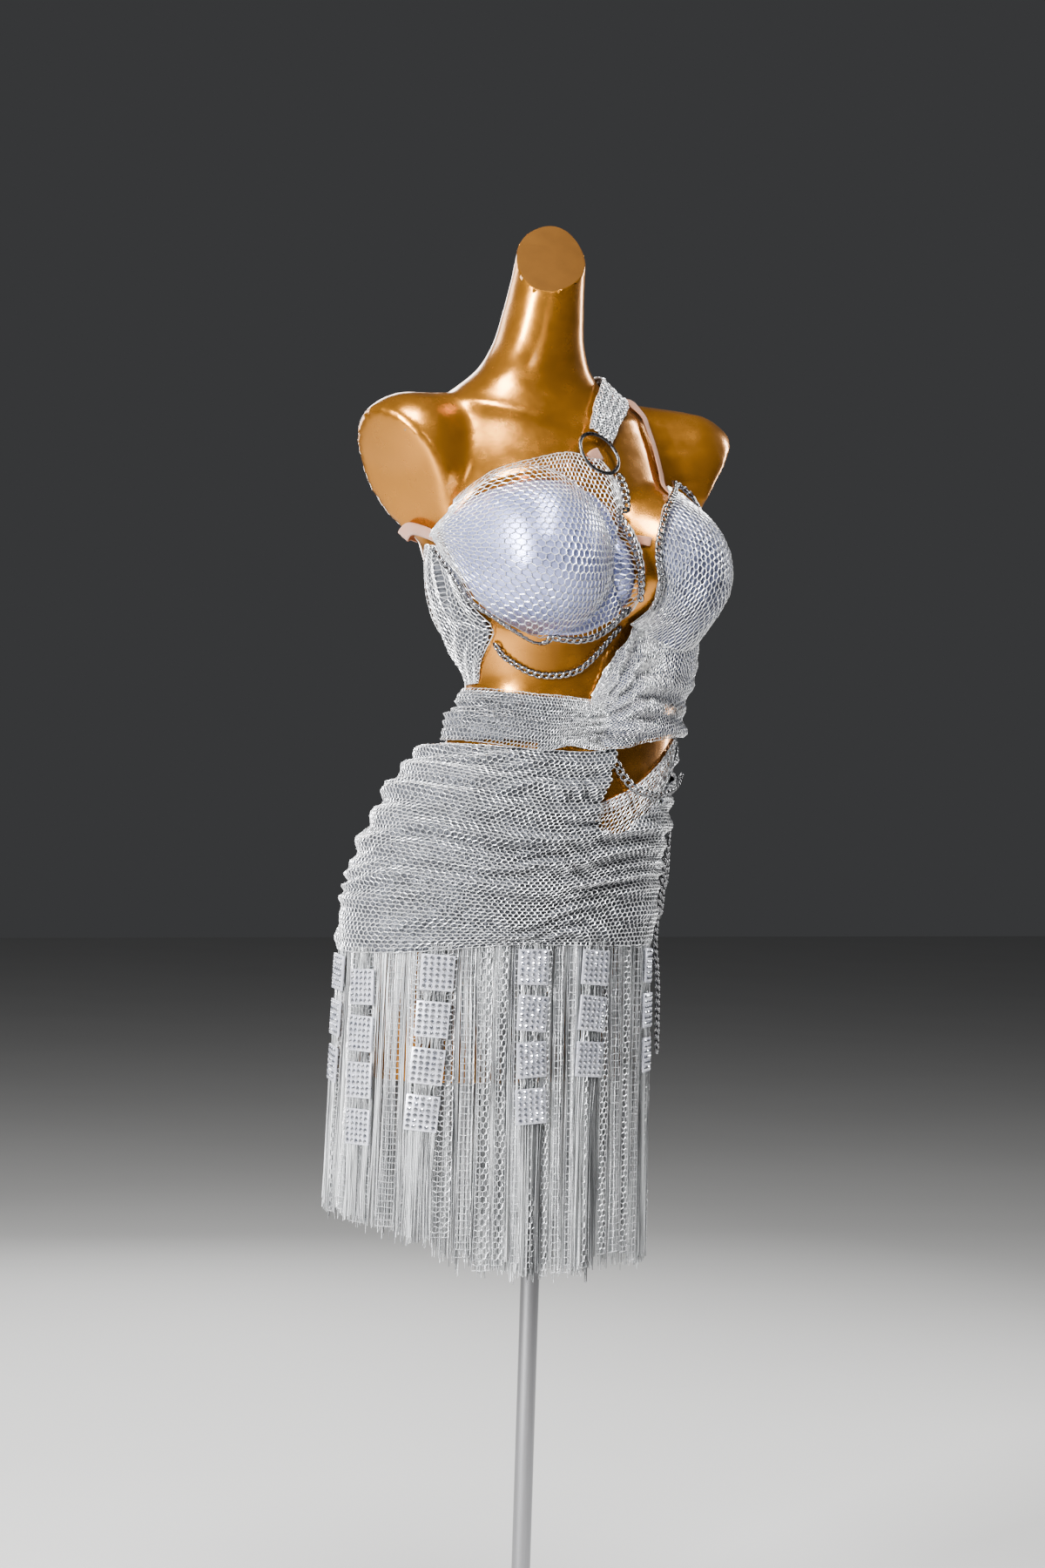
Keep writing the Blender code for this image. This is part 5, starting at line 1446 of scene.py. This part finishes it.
# Angles where each quarter of the fringe starts and stops, with the node it stands for.
FRINGES = (
    ("fringe_right", 140.6, 219.3), ("fringe_front", 219.3, 299.7),
    ("fringe_left", 299.7, 379.7), ("fringe_back", 379.7, 500.6),
)
THREAD_POINTS = 8
THREAD_ROOT = 9 * MM
BUNDLE_TURN = 2.6


def thread_lines(start, stop, count, height, rng, ragged=0.011, shorter=0.0):
    """Hanging threads between two angles, each with its own length, sway and place in its bundle."""
    turn, _ = even_turn(start, stop, 0.84, 181)
    at = (np.arange(count) + rng.uniform(-0.45, 0.45, count)) / count
    theta = turn(np.clip(at, 0, 1))
    bundle = np.floor(at * (stop - start) / BUNDLE_TURN)
    middle = turn(np.clip((bundle + 0.5) * BUNDLE_TURN / (stop - start), 0, 1))
    bundle_low = rng.normal(0, 0.004, int(bundle.max()) + 2)
    deep = height + rng.uniform(0, 2.4, count) * MM
    low = round_body(theta, HEM) + rng.uniform(-0.3, 1.0, count) * ragged + shorter
    low = low + bundle_low[np.clip(bundle, 0, None).astype(int)]
    top = skirt_top(theta) + THREAD_ROOT
    phase, sway = rng.uniform(0, TAU, count), rng.normal(0, 0.35, count)
    lines = []
    down = np.linspace(0, 1, THREAD_POINTS)
    gather = 0.38 * np.sin(math.pi * np.clip(down * 1.15 - 0.1, 0, 1)) ** 1.3
    for k in range(count):
        angle = theta[k] + (middle[k] - theta[k]) * gather + sway[k] * down ** 1.5 * 0.7
        angle = angle + 0.10 * np.sin(phase[k] + 7 * down)
        z = top[k] + (low[k] - top[k]) * down
        off = deep[k] + 0.5 * MM * np.sin(phase[k] + 5 * down) * down
        lines.append(hang(angle, z, off))
    return lines


# Hanging net ribbons: degrees from one to the next, the distance from the axis, and where the cells are square.
RIBBON_STEP = 8.2
RIBBON_REACH = 0.135
RIBBON_OFF = 5.4 * MM
OPEN_RIBBONS = (217.0, 224.5, 244.5, 271.0, 283.0)


def ribbon_place(angle, width, height, curl, low):
    """A ribbon of net gathered into a soft gutter, hanging from the hips."""
    def place(u, v):
        u, v = np.asarray(u), np.asarray(v)
        half_turn = np.degrees(width * MM / 2 / RIBBON_REACH)
        narrow = 1 - 0.22 * np.sin(math.pi * v) + 0.05 * np.sin(9 * v + angle)
        theta = angle + (2 * u - 1) * half_turn * narrow + 0.5 * np.sin(3.1 * v + angle * 0.7)
        top = skirt_top(np.full_like(theta, angle)) + 5 * MM
        z = top + (low - top) * v
        bulge = curl * (1 - (2 * u - 1) ** 2) + 0.5 * MM * np.sin(11 * v + angle)
        return hang(theta, z, height + bulge)
    return place


def build_fringe(settings):
    strand = settings.net_strand * RIBBON_STRAND
    for number, (node, start, stop) in enumerate(FRINGES):
        rng = np.random.default_rng(50 + number)
        side = node.split("_")[1]
        share = (stop - start) / 360
        count = int(settings.thread_count * share)
        lines = thread_lines(start, stop, count // 2, 1.2 * MM, rng)
        lines += thread_lines(start, stop, count // 2, 3.2 * MM, rng, shorter=0.004)
        threads = tube_piece("threads_" + side, lines, settings.thread_radius, LOOKS["thread"], (node,))
        ribbons = bmesh.new()
        angle = start + RIBBON_STEP * 0.55
        while angle < stop - 2:
            wide = rng.uniform(11, 17)
            open_cells = any(abs(angle - a) < RIBBON_STEP / 2 for a in OPEN_RIBBONS)
            if start > 290 or start < 200:
                open_cells = rng.uniform() < 0.25
            low = float(round_body(np.array([angle]), HEM)[0]) + rng.uniform(0.000, 0.020)
            cols, rows = (3, 44) if open_cells else (4, 58)
            place = ribbon_place(angle, wide, RIBBON_OFF, rng.uniform(1.0, 3.2) * MM, low)
            bm = net_bmesh(cols, rows, place, (wide * MM, 0.35), square=open_cells, seed=int(angle * 10))
            joined = bpy.data.meshes.new("ribbon_helper")
            bm.to_mesh(joined)
            bm.free()
            ribbons.from_mesh(joined)
            bpy.data.meshes.remove(joined)
            angle += RIBBON_STEP * rng.uniform(0.8, 1.2)
        net = add_net("net_ribbons_" + side, ribbons, strand, LOOKS["net_skirt"], ())


# Crystal-block strips: name, angle at the top, angle at the bottom, drop below the wrap's edge, number of blocks.
STONE_STRIPS = (
    ("stone_strip_1", 169, 167, 0.000, 3),
    ("stone_strip_2", 186, 187.5, 0.012, 4),
    ("stone_strip_3", 213, 208, -0.004, 4),
    ("stone_strip_4", 255, 255, 0.000, 4),
    ("stone_strip_5", 297, 291, 0.000, 3),
    ("stone_strip_6", 335, 334, 0.000, 3),
    ("stone_strip_7", 376, 377, 0.002, 3),
    ("stone_strip_8", 422, 420, 0.004, 4),
    ("stone_strip_9", 461, 463, 0.000, 4),
    ("stone_strip_10", 497, 496, 0.006, 3),
)
BLOCK_WIDE, BLOCK_HIGH, BLOCK_THICK = 0.034, 0.036, 2.2 * MM
BLOCK_GAP = 0.011
STRIP_OFF = 7.4 * MM
STRIP_DROP = 0.19
STONES_ACROSS, STONES_DOWN = 5, 6


def stone_unit():
    """A round cut stone: a low many-sided dome with a flat table, in a thin cup."""
    bm = bmesh.new()
    for low, high, wide, narrow in ((0.0, 0.5, 2.45, 2.55), (0.5, 1.35, 2.25, 1.25)):
        made = bmesh.ops.create_cone(bm, cap_ends=True, segments=8, radius1=wide * MM, radius2=narrow * MM,
                                     depth=(high - low) * MM)["verts"]
        bmesh.ops.translate(bm, vec=(0, 0, (low + high) / 2 * MM), verts=made)
    mesh = bpy.data.meshes.new("stone_unit")
    bm.to_mesh(mesh)
    bm.free()
    return mesh


def block_unit():
    bm = bmesh.new()
    bmesh.ops.create_cube(bm, size=1.0)
    bmesh.ops.scale(bm, vec=(BLOCK_WIDE, BLOCK_HIGH, BLOCK_THICK), verts=bm.verts)
    bmesh.ops.bevel(bm, geom=bm.edges[:], offset=0.6 * MM, segments=2, profile=0.5, affect="EDGES", material=-1)
    mesh = bpy.data.meshes.new("block_unit")
    bm.to_mesh(mesh)
    bm.free()
    return mesh


def strip_frame(top_angle, low_angle, below):
    """A point of a strip at a distance below the wrap's edge, with its sideways and outward directions."""
    edge = skirt_top(np.array([float(top_angle)]))[0]
    angle = top_angle + (low_angle - top_angle) * ramp(below, 0, STRIP_DROP)
    theta = np.array([angle])
    point = hang(theta, np.array([edge - below]), np.array([STRIP_OFF]))[0]
    out = outward_level(theta, np.array([edge]))[0]
    return point, np.array((-out[1], out[0], 0.0)), out


def build_strips(settings):
    stone, block = stone_unit(), block_unit()
    for number, (name, top_angle, low_angle, drop, blocks) in enumerate(STONE_STRIPS):
        rng = np.random.default_rng(80 + number)
        plates, stones, ties = [], [], []
        start = max(drop, 0) + 5 * MM
        begin = -6 * MM
        for _ in range(blocks):
            middle, _, _ = strip_frame(top_angle, low_angle, start + BLOCK_HIGH / 2)
            above, side, out = strip_frame(top_angle, low_angle, start)
            below, _, _ = strip_frame(top_angle, low_angle, start + BLOCK_HIGH)
            up = (above - below) / np.linalg.norm(above - below)
            side = np.cross(up, out)
            side /= np.linalg.norm(side)
            out = np.cross(side, up)
            tilt = Matrix.Rotation(rng.normal(0, 0.05), 4, "Y") @ Matrix.Rotation(rng.normal(0, 0.03), 4, "Z")
            base = frame_matrix(middle + out * BLOCK_THICK / 2, side, up, out) @ tilt
            plates.append(base)
            for a in range(STONES_ACROSS):
                for b in range(STONES_DOWN):
                    x = (a + 0.5) / STONES_ACROSS - 0.5
                    y = (b + 0.5) / STONES_DOWN - 0.5
                    spot = Vector((x * (BLOCK_WIDE - 2 * MM), y * (BLOCK_HIGH - 2 * MM), BLOCK_THICK / 2 - 0.15 * MM))
                    turn = Matrix.Rotation(rng.uniform(0, TAU), 4, "Z")
                    stones.append(base @ Matrix.Translation(spot) @ turn)
            ties += tie_lines(top_angle, low_angle, begin, start + 2 * MM, 0.024, 22, rng)
            begin = start + BLOCK_HIGH - 2 * MM
            start += BLOCK_HIGH + BLOCK_GAP
        hem = float(round_body(np.array([float(low_angle)]), HEM)[0])
        edge = float(skirt_top(np.array([float(top_angle)]))[0])
        ties += tie_lines(top_angle, low_angle, begin, edge - hem, 0.031, 46, rng, ragged=0.012)
        plate = add_piece("blocks_" + name[6:], repeated(block, plates), LOOKS["block"], (name,))
        plate.data.set_sharp_from_angle(angle=SHARP_ANGLE)
        add_piece("stones_" + name[6:], repeated(stone, stones), LOOKS["stone"], (), smooth=False)
        tube_piece("ties_" + name[6:], ties, settings.thread_radius, LOOKS["thread"], ())
    bpy.data.meshes.remove(stone)
    bpy.data.meshes.remove(block)


def tie_lines(top_angle, low_angle, begin, end, wide, count, rng, ragged=0.0):
    """Threads of a strip between two distances below the wrap's edge."""
    lines = []
    steps = max(3, int((end - begin) / 0.022))
    below = np.linspace(begin, end, steps)
    frames = [strip_frame(top_angle, low_angle, b) for b in below]
    for k in range(count):
        across = ((k + rng.uniform(0.1, 0.9)) / count - 0.5) * wide
        phase, sway = rng.uniform(0, TAU), rng.normal(0, 0.0010)
        stop = rng.uniform(0, ragged) if ragged else 0.0
        deep = rng.uniform(-1.6, 0.9) * MM
        line = []
        for n, (point, side, out) in enumerate(frames):
            t = n / (steps - 1)
            x = across * (1 - 0.12 * math.sin(math.pi * t)) + sway * t + 0.35 * MM * math.sin(phase + 6 * t)
            p = point + side * x + out * (deep + 0.3 * MM * math.sin(phase + 4 * t))
            p[2] += stop * t
            line.append(p)
        lines.append(np.array(line))
    return lines


# Chains: (theta, z, height of the middle line over the form in mm).

CHAIN_NECK_RIGHT = (
    (288.8, 1.323, 3.2), (289.2, 1.307, 3.8), (287.2, 1.285, 4.6), (285.6, 1.262, 3.4), (285.0, 1.236, 3.4),
    (285.0, 1.212, 3.3), (285.2, 1.203, 3.1),
)
CHAIN_DRAPE_EDGE = (
    (290.6, 1.196, 3.1), (291.6, 1.215, 3.1), (291.4, 1.236, 3.1), (294.5, 1.256, 3.1), (300, 1.274, 3.1),
    (307, 1.289, 3.1), (316, 1.302, 3.5), (326, 1.313, 4.6), (333, 1.315, 5.0), (341, 1.296, 3.9),
    (351, 1.272, 3.6), (365, 1.246, 3.4), (384, 1.222, 3.1), (402, 1.182, 3.1), (419, 1.148, 3.1),
)
CHAIN_UNDERBUST = (
    (187.3, 1.239, 4.8), (190.5, 1.224, 4.8), (195.5, 1.200, 5.2), (205, 1.184, 6.0), (218, 1.167, 7.6),
    (232, 1.1565, 8.4), (247, 1.1570, 8.4), (262, 1.168, 7.2), (272, 1.179, 5.9), (281, 1.190, 5.0),
)
CHAIN_SWAG = (
    (200, 1.148, 3.0), (204, 1.133, 3.0), (217.5, 1.117, 2.8), (238, 1.121, 2.8), (254, 1.138, 2.8),
    (266.5, 1.155, 2.8), (277, 1.169, 2.8),
)
CHAIN_HIP = (
    (281, 1.030, 2.8), (288, 1.018, 3.4), (298.5, 1.004, 8), (307, 0.998, 15), (317, 0.997, 17),
    (328, 1.006, 17), (338, 1.020, 14),
)
CHAIN_LONG = (
    (345, 0.930, 13.3), (344, 0.900, 12.0), (343.5, 0.868, 11.2), (343.5, 0.840, 12.6), (344, 0.800, 20.5),
    (344.5, 0.760, 26.5), (345, 0.728, 32),
)
# Node, the angles of the two ends, the heights of the ends and the lowest link, and how far off the form in mm.
TASSEL_LOOPS = (
    ("tassel_chain_1", 348.0, 355.0, 0.950, 0.868, 16.5),
    ("tassel_chain_2", 357.5, 366.0, 0.944, 0.838, 17.5),
    ("tassel_chain_3", 350.0, 363.0, 0.966, 0.895, 18.5),
)
LINK_LONG, LINK_WIDE, LINK_WIRE = 12.4 * MM, 9.4 * MM, 1.55 * MM
LINK_PITCH = 7.6 * MM
LINK_TWIST = 0.16
LINK_TURN, LINK_LEAN = math.radians(32), math.radians(14)
LINK_AHEAD = 1.5 * MM


def chain_line(path, over=None, count=240):
    """A chain's middle line with its directions, from (theta, z, height in mm)."""
    line = spread(path, count)
    theta, z = np.radians(line[:, 0]), line[:, 1]
    outward = form_normal(theta, z)
    height = line[:, 2] * MM
    if over:
        height = height + over(line[:, 0], z, np.ones_like(z), np.zeros_like(z)) + NET_THICK
    centres = lay(line[:, 0], z, height)
    return centres, outward


def link_unit():
    """One link: an oval ring of round wire, a little twisted, as in a curb chain."""
    bm = bmesh.new()
    wire = bmesh.ops.create_circle(bm, cap_ends=False, segments=5, radius=LINK_WIRE)["verts"]
    bmesh.ops.rotate(bm, cent=(0, 0, 0), matrix=Matrix.Rotation(math.pi / 2, 3, "X"), verts=wire)
    bmesh.ops.translate(bm, vec=(LINK_WIDE / 2 - LINK_WIRE, 0, 0), verts=wire)
    bmesh.ops.spin(bm, geom=bm.verts[:] + bm.edges[:], cent=(0, 0, 0), axis=(0, 0, 1), angle=TAU, steps=12,
                   use_merge=True)
    bmesh.ops.remove_doubles(bm, verts=bm.verts, dist=1e-6)
    bmesh.ops.recalc_face_normals(bm, faces=bm.faces)
    stretch = LINK_LONG / LINK_WIDE
    for v in bm.verts:
        v.co.y *= stretch
        v.co.z += LINK_TWIST * v.co.x * (v.co.y / LINK_LONG) * 4
    mesh = bpy.data.meshes.new("link_unit")
    bm.to_mesh(mesh)
    bm.free()
    return mesh


def link_matrices(centres, outward, seed=0):
    """A place for each link along a line, each turned the same way about it."""
    rng = np.random.default_rng(seed)
    length = np.concatenate([[0], np.cumsum(np.linalg.norm(np.diff(centres, axis=0), axis=1))])
    count = max(2, int(round(length[-1] / LINK_PITCH)))
    at = np.linspace(0, length[-1], count + 1)
    at = (at[1:] + at[:-1]) / 2

    def along(values, s):
        return np.array([np.interp(s, length, values[:, k]) for k in range(3)])
    matrices = []
    for s in at:
        p = along(centres, s)
        ahead = along(centres, min(s + LINK_AHEAD, length[-1])) - along(centres, max(s - LINK_AHEAD, 0))
        ahead /= np.linalg.norm(ahead)
        out = along(outward, s)
        side = np.cross(ahead, out)
        side /= np.linalg.norm(side)
        out = np.cross(side, ahead)
        turn = Matrix.Rotation(LINK_TURN + rng.normal(0, 0.06), 4, "Y") @ Matrix.Rotation(
            LINK_LEAN + rng.normal(0, 0.05), 4, "Z")
        matrices.append(frame_matrix(p, side, ahead, out) @ turn)
    return matrices


def build_chains(settings):
    unit = link_unit()
    for name, node, path, over in (
        ("links_neck_right", "chain_neck_right", CHAIN_NECK_RIGHT, net_height),
        ("links_drape_edge", "chain_drape_edge", CHAIN_DRAPE_EDGE, drape_left_height),
        ("links_underbust", "chain_underbust", CHAIN_UNDERBUST, net_height),
        ("links_swag", "chain_swag", CHAIN_SWAG, None),
        ("links_hip", "chain_hip", CHAIN_HIP, None),
        ("links_long", "chain_long", CHAIN_LONG, None),
    ):
        centres, outward = chain_line(path, over)
        bm = repeated(unit, link_matrices(centres, outward, seed=len(name)))
        add_piece(name, bm, LOOKS["chain"], (node,))
    for k, (node, first, last, high, low, height) in enumerate(TASSEL_LOOPS):
        turn = np.linspace(0, math.pi, 40)
        theta = first + (last - first) * (0.5 - 0.5 * np.cos(turn))
        z = high - (high - low) * np.sin(turn) ** 0.6
        line = np.column_stack([theta, z, height + (2.2 + 3.0 * k) * np.sin(turn)])
        centres, outward = chain_line(line)
        bm = repeated(unit, link_matrices(centres, outward, seed=90 + k))
        add_piece("links_tassel_%d" % (k + 1), bm, LOOKS["chain"], (node,))
    bpy.data.meshes.remove(unit)


# The stage

CAMERA_TURN = math.radians(-33)
CAMERA_AWAY = 3.2
CAMERA_HIGH = 1.004
CAMERA_ASIDE = -0.024
CAMERA_ROLL = 0.0312
FOCAL_LENGTH = 69.57


def build_camera():
    data = bpy.data.cameras.new("photo_view")
    data.lens = FOCAL_LENGTH
    data.sensor_fit = "AUTO"
    data.sensor_width = 36.0
    data.clip_start, data.clip_end = 0.05, 60.0
    camera = bpy.data.objects.new("photo_view", data)
    bpy.context.scene.collection.objects.link(camera)
    a = CAMERA_TURN
    forward = Vector((-math.sin(a), math.cos(a), 0))
    right = Vector((math.cos(a), math.sin(a), 0))
    camera.location = -forward * CAMERA_AWAY + right * CAMERA_ASIDE + Vector((0, 0, CAMERA_HIGH))
    camera.rotation_mode = "QUATERNION"
    level = forward.to_track_quat("-Z", "Y")
    camera.rotation_quaternion = level @ Matrix.Rotation(CAMERA_ROLL, 3, "Z").to_quaternion()
    bpy.context.scene.camera = camera


# Soft lights: name, place, what it looks at, size in metres, and power in watts.
LIGHTS = (
    ("key_left", (-2.9, -0.9, 1.9), (0, 0, 1.05), (0.6, 1.8), 470),
    ("fill_front", (-0.6, -3.6, 2.4), (0, 0, 1.1), (0.7, 0.7), 12),
    ("side_right", (2.6, 0.4, 1.8), (0, 0, 1.2), (0.4, 1.7), 58),
    ("back_left", (-0.7, 2.9, 2.0), (0, 0, 1.1), (0.8, 1.8), 42),
    ("back_right", (1.0, 2.8, 1.9), (0, 0, 1.1), (0.8, 1.8), 46),
    ("top", (-0.3, -0.9, 3.3), (0, 0, 1.0), (0.7, 0.7), 120),
)


def build_stage(settings):
    bm = bmesh.new()
    bmesh.ops.create_grid(bm, x_segments=8, y_segments=8, size=14.0)
    mesh = bpy.data.meshes.new("floor")
    bm.to_mesh(mesh)
    bm.free()
    mesh.materials.append(floor_look())
    floor = bpy.data.objects.new("floor", mesh)
    bpy.context.scene.collection.objects.link(floor)
    world = bpy.data.worlds.new("studio")
    world.use_nodes = True
    backdrop = next(n for n in world.node_tree.nodes if n.type == "BACKGROUND")
    backdrop.inputs["Color"].default_value = (0.50, 0.51, 0.53, 1)
    backdrop.inputs["Strength"].default_value = 0.09
    bpy.context.scene.world = world
    for name, place, target, size, power in LIGHTS:
        data = bpy.data.lights.new(name, "AREA")
        data.shape = "RECTANGLE"
        data.size, data.size_y = size
        data.energy = power * settings.light
        lamp = bpy.data.objects.new(name, data)
        lamp.location = place
        lamp.rotation_mode = "QUATERNION"
        lamp.rotation_quaternion = (Vector(target) - Vector(place)).to_track_quat("-Z", "Y")
        bpy.context.scene.collection.objects.link(lamp)
    build_camera()


# The add-on


class DressSettings(bpy.types.PropertyGroup):
    """Sizes and colours of the dress."""

    net_cell: FloatProperty(name="Net cell", description="Width of one cell of the net", default=NET_CELL,
                            min=3 * MM, max=20 * MM, subtype="DISTANCE", precision=4)
    net_strand: FloatProperty(name="Net strand", description="Thickness of the net's strands", default=NET_STRAND,
                              min=0.4 * MM, max=3 * MM, subtype="DISTANCE", precision=4)
    thread_count: IntProperty(name="Threads", description="Number of threads round the skirt", default=1640,
                              min=200, max=6000)
    thread_radius: FloatProperty(name="Thread radius", description="Radius of a fringe thread", default=0.5 * MM,
                                 min=0.2 * MM, max=2 * MM, subtype="DISTANCE", precision=4)
    gold: FloatVectorProperty(name="Form", description="Colour of the form's lacquer", subtype="COLOR", size=3,
                              default=(0.50, 0.195, 0.020), min=0, max=1)
    silver: FloatVectorProperty(name="Net", description="Colour of the net", subtype="COLOR", size=3,
                                default=(0.93, 0.94, 0.97), min=0, max=1)
    lavender: FloatVectorProperty(name="Cups", description="Colour of the satin cups", subtype="COLOR", size=3,
                                  default=(0.31, 0.34, 0.60), min=0, max=1)
    nude: FloatVectorProperty(name="Elastic", description="Colour of the elastic straps", subtype="COLOR", size=3,
                              default=(0.40, 0.165, 0.085), min=0, max=1)
    thread: FloatVectorProperty(name="Threads", description="Colour of the fringe", subtype="COLOR", size=3,
                                default=(0.80, 0.82, 0.88), min=0, max=1)
    light: FloatProperty(name="Light", description="Strength of the studio lights", default=1.0, min=0, max=10,
                         subtype="FACTOR")


class DRESS_OT_looks(bpy.types.Operator):
    """Make the materials"""

    bl_idname = "dress.looks"
    bl_label = "Materials"

    def execute(self, context):
        s = context.scene.dress_settings
        LOOKS.update(
            gold=gold_lacquer(s.gold[:]), neck_cap=neck_cap_look(s.gold[:]),
            steel=steel_look("brushed_steel_pole", (0.36, 0.36, 0.37), 0.15, (900.0, 900.0, 12.0),
                             ((0.18, 0.18, 0.19), (0.34, 0.34, 0.35)), (0.10, 0.22)),
            plate=steel_look("brushed_steel_plate", (0.60, 0.60, 0.62), 0.3, (12.0, 900.0, 12.0),
                             ((0.48, 0.48, 0.50), (0.66, 0.66, 0.68)), (0.22, 0.42)),
            satin=satin_look(s.lavender[:]), net=net_look("silver_net", s.silver[:]),
            net_skirt=net_look("silver_net_skirt", tint(s.silver[:], 0.95)),
            # The lower layers' colours are painted shade: far darker than their silver and lavender thread.
            backing=backing_look("shaded_net_layers", (0.012, 0.013, 0.016), (0.16, 0.17, 0.20)),
            backing_bodice=backing_look("shaded_net_layers_bodice", (0.022, 0.024, 0.045), (0.21, 0.235, 0.37)),
            elastic=elastic_look(s.nude[:]), thread=thread_look("silver_thread", s.thread[:]),
            chain=chain_look("dark_chrome_chain", (0.24, 0.24, 0.25), 0.14),
            gunmetal=chain_look("gunmetal_ring", (0.10, 0.10, 0.105), 0.25),
            block=block_look((0.70, 0.71, 0.80)), stone=stone_look(),
        )
        return {"FINISHED"}


class DRESS_OT_form(bpy.types.Operator):
    """Build the gold dress form"""

    bl_idname = "dress.form"
    bl_label = "Dress form"

    def execute(self, context):
        build_form(context.scene.dress_settings)
        return {"FINISHED"}


class DRESS_OT_stand(bpy.types.Operator):
    """Build the pole, its collar and the base plate"""

    bl_idname = "dress.stand"
    bl_label = "Stand"

    def execute(self, context):
        build_stand(context.scene.dress_settings)
        return {"FINISHED"}


class DRESS_OT_cups(bpy.types.Operator):
    """Build the two satin cups"""

    bl_idname = "dress.cups"
    bl_label = "Satin cups"

    def execute(self, context):
        build_cups(context.scene.dress_settings)
        return {"FINISHED"}


class DRESS_OT_bodice_nets(bpy.types.Operator):
    """Build the nets of the bodice"""

    bl_idname = "dress.bodice_nets"
    bl_label = "Bodice nets"

    def execute(self, context):
        build_bodice_nets(context.scene.dress_settings)
        return {"FINISHED"}


class DRESS_OT_straps(bpy.types.Operator):
    """Build the elastic straps, the net strap and the ring"""

    bl_idname = "dress.straps"
    bl_label = "Straps and ring"

    def execute(self, context):
        build_straps(context.scene.dress_settings)
        return {"FINISHED"}


class DRESS_OT_wraps(bpy.types.Operator):
    """Build the waist band and the hip wrap"""

    bl_idname = "dress.wraps"
    bl_label = "Waist and hips"

    def execute(self, context):
        build_waist(context.scene.dress_settings)
        build_hips(context.scene.dress_settings)
        return {"FINISHED"}


class DRESS_OT_fringe(bpy.types.Operator):
    """Build the fringe's threads and net ribbons"""

    bl_idname = "dress.fringe"
    bl_label = "Fringe"

    def execute(self, context):
        build_fringe(context.scene.dress_settings)
        return {"FINISHED"}


class DRESS_OT_strips(bpy.types.Operator):
    """Build the strips of stones"""

    bl_idname = "dress.strips"
    bl_label = "Stone strips"

    def execute(self, context):
        build_strips(context.scene.dress_settings)
        return {"FINISHED"}


class DRESS_OT_chains(bpy.types.Operator):
    """Build the chains"""

    bl_idname = "dress.chains"
    bl_label = "Chains"

    def execute(self, context):
        build_chains(context.scene.dress_settings)
        return {"FINISHED"}


class DRESS_OT_stage(bpy.types.Operator):
    """Build the floor, the lights and the camera"""

    bl_idname = "dress.stage"
    bl_label = "Stage"

    def execute(self, context):
        build_stage(context.scene.dress_settings)
        return {"FINISHED"}


STEPS = (
    DRESS_OT_looks, DRESS_OT_form, DRESS_OT_stand, DRESS_OT_cups, DRESS_OT_bodice_nets, DRESS_OT_straps,
    DRESS_OT_wraps, DRESS_OT_fringe, DRESS_OT_strips, DRESS_OT_chains, DRESS_OT_stage,
)


class DRESS_PT_panel(bpy.types.Panel):
    """The dress's sizes, colours and building steps"""

    bl_label = "Dance dress"
    bl_idname = "DRESS_PT_panel"
    bl_space_type = "VIEW_3D"
    bl_region_type = "UI"
    bl_category = "Dress"

    def draw(self, context):
        settings = context.scene.dress_settings
        for name in DressSettings.__annotations__:
            self.layout.prop(settings, name)
        for step in STEPS:
            self.layout.operator(step.bl_idname)


CLASSES = (DressSettings, *STEPS, DRESS_PT_panel)


def register():
    for c in CLASSES:
        bpy.utils.register_class(c)
    bpy.types.Scene.dress_settings = PointerProperty(type=DressSettings)


def unregister():
    del bpy.types.Scene.dress_settings
    for c in reversed(CLASSES):
        bpy.utils.unregister_class(c)


def main():
    register()
    for step in STEPS:
        group, name = step.bl_idname.split(".")
        getattr(getattr(bpy.ops, group), name)()


if __name__ == "__main__":
    main()
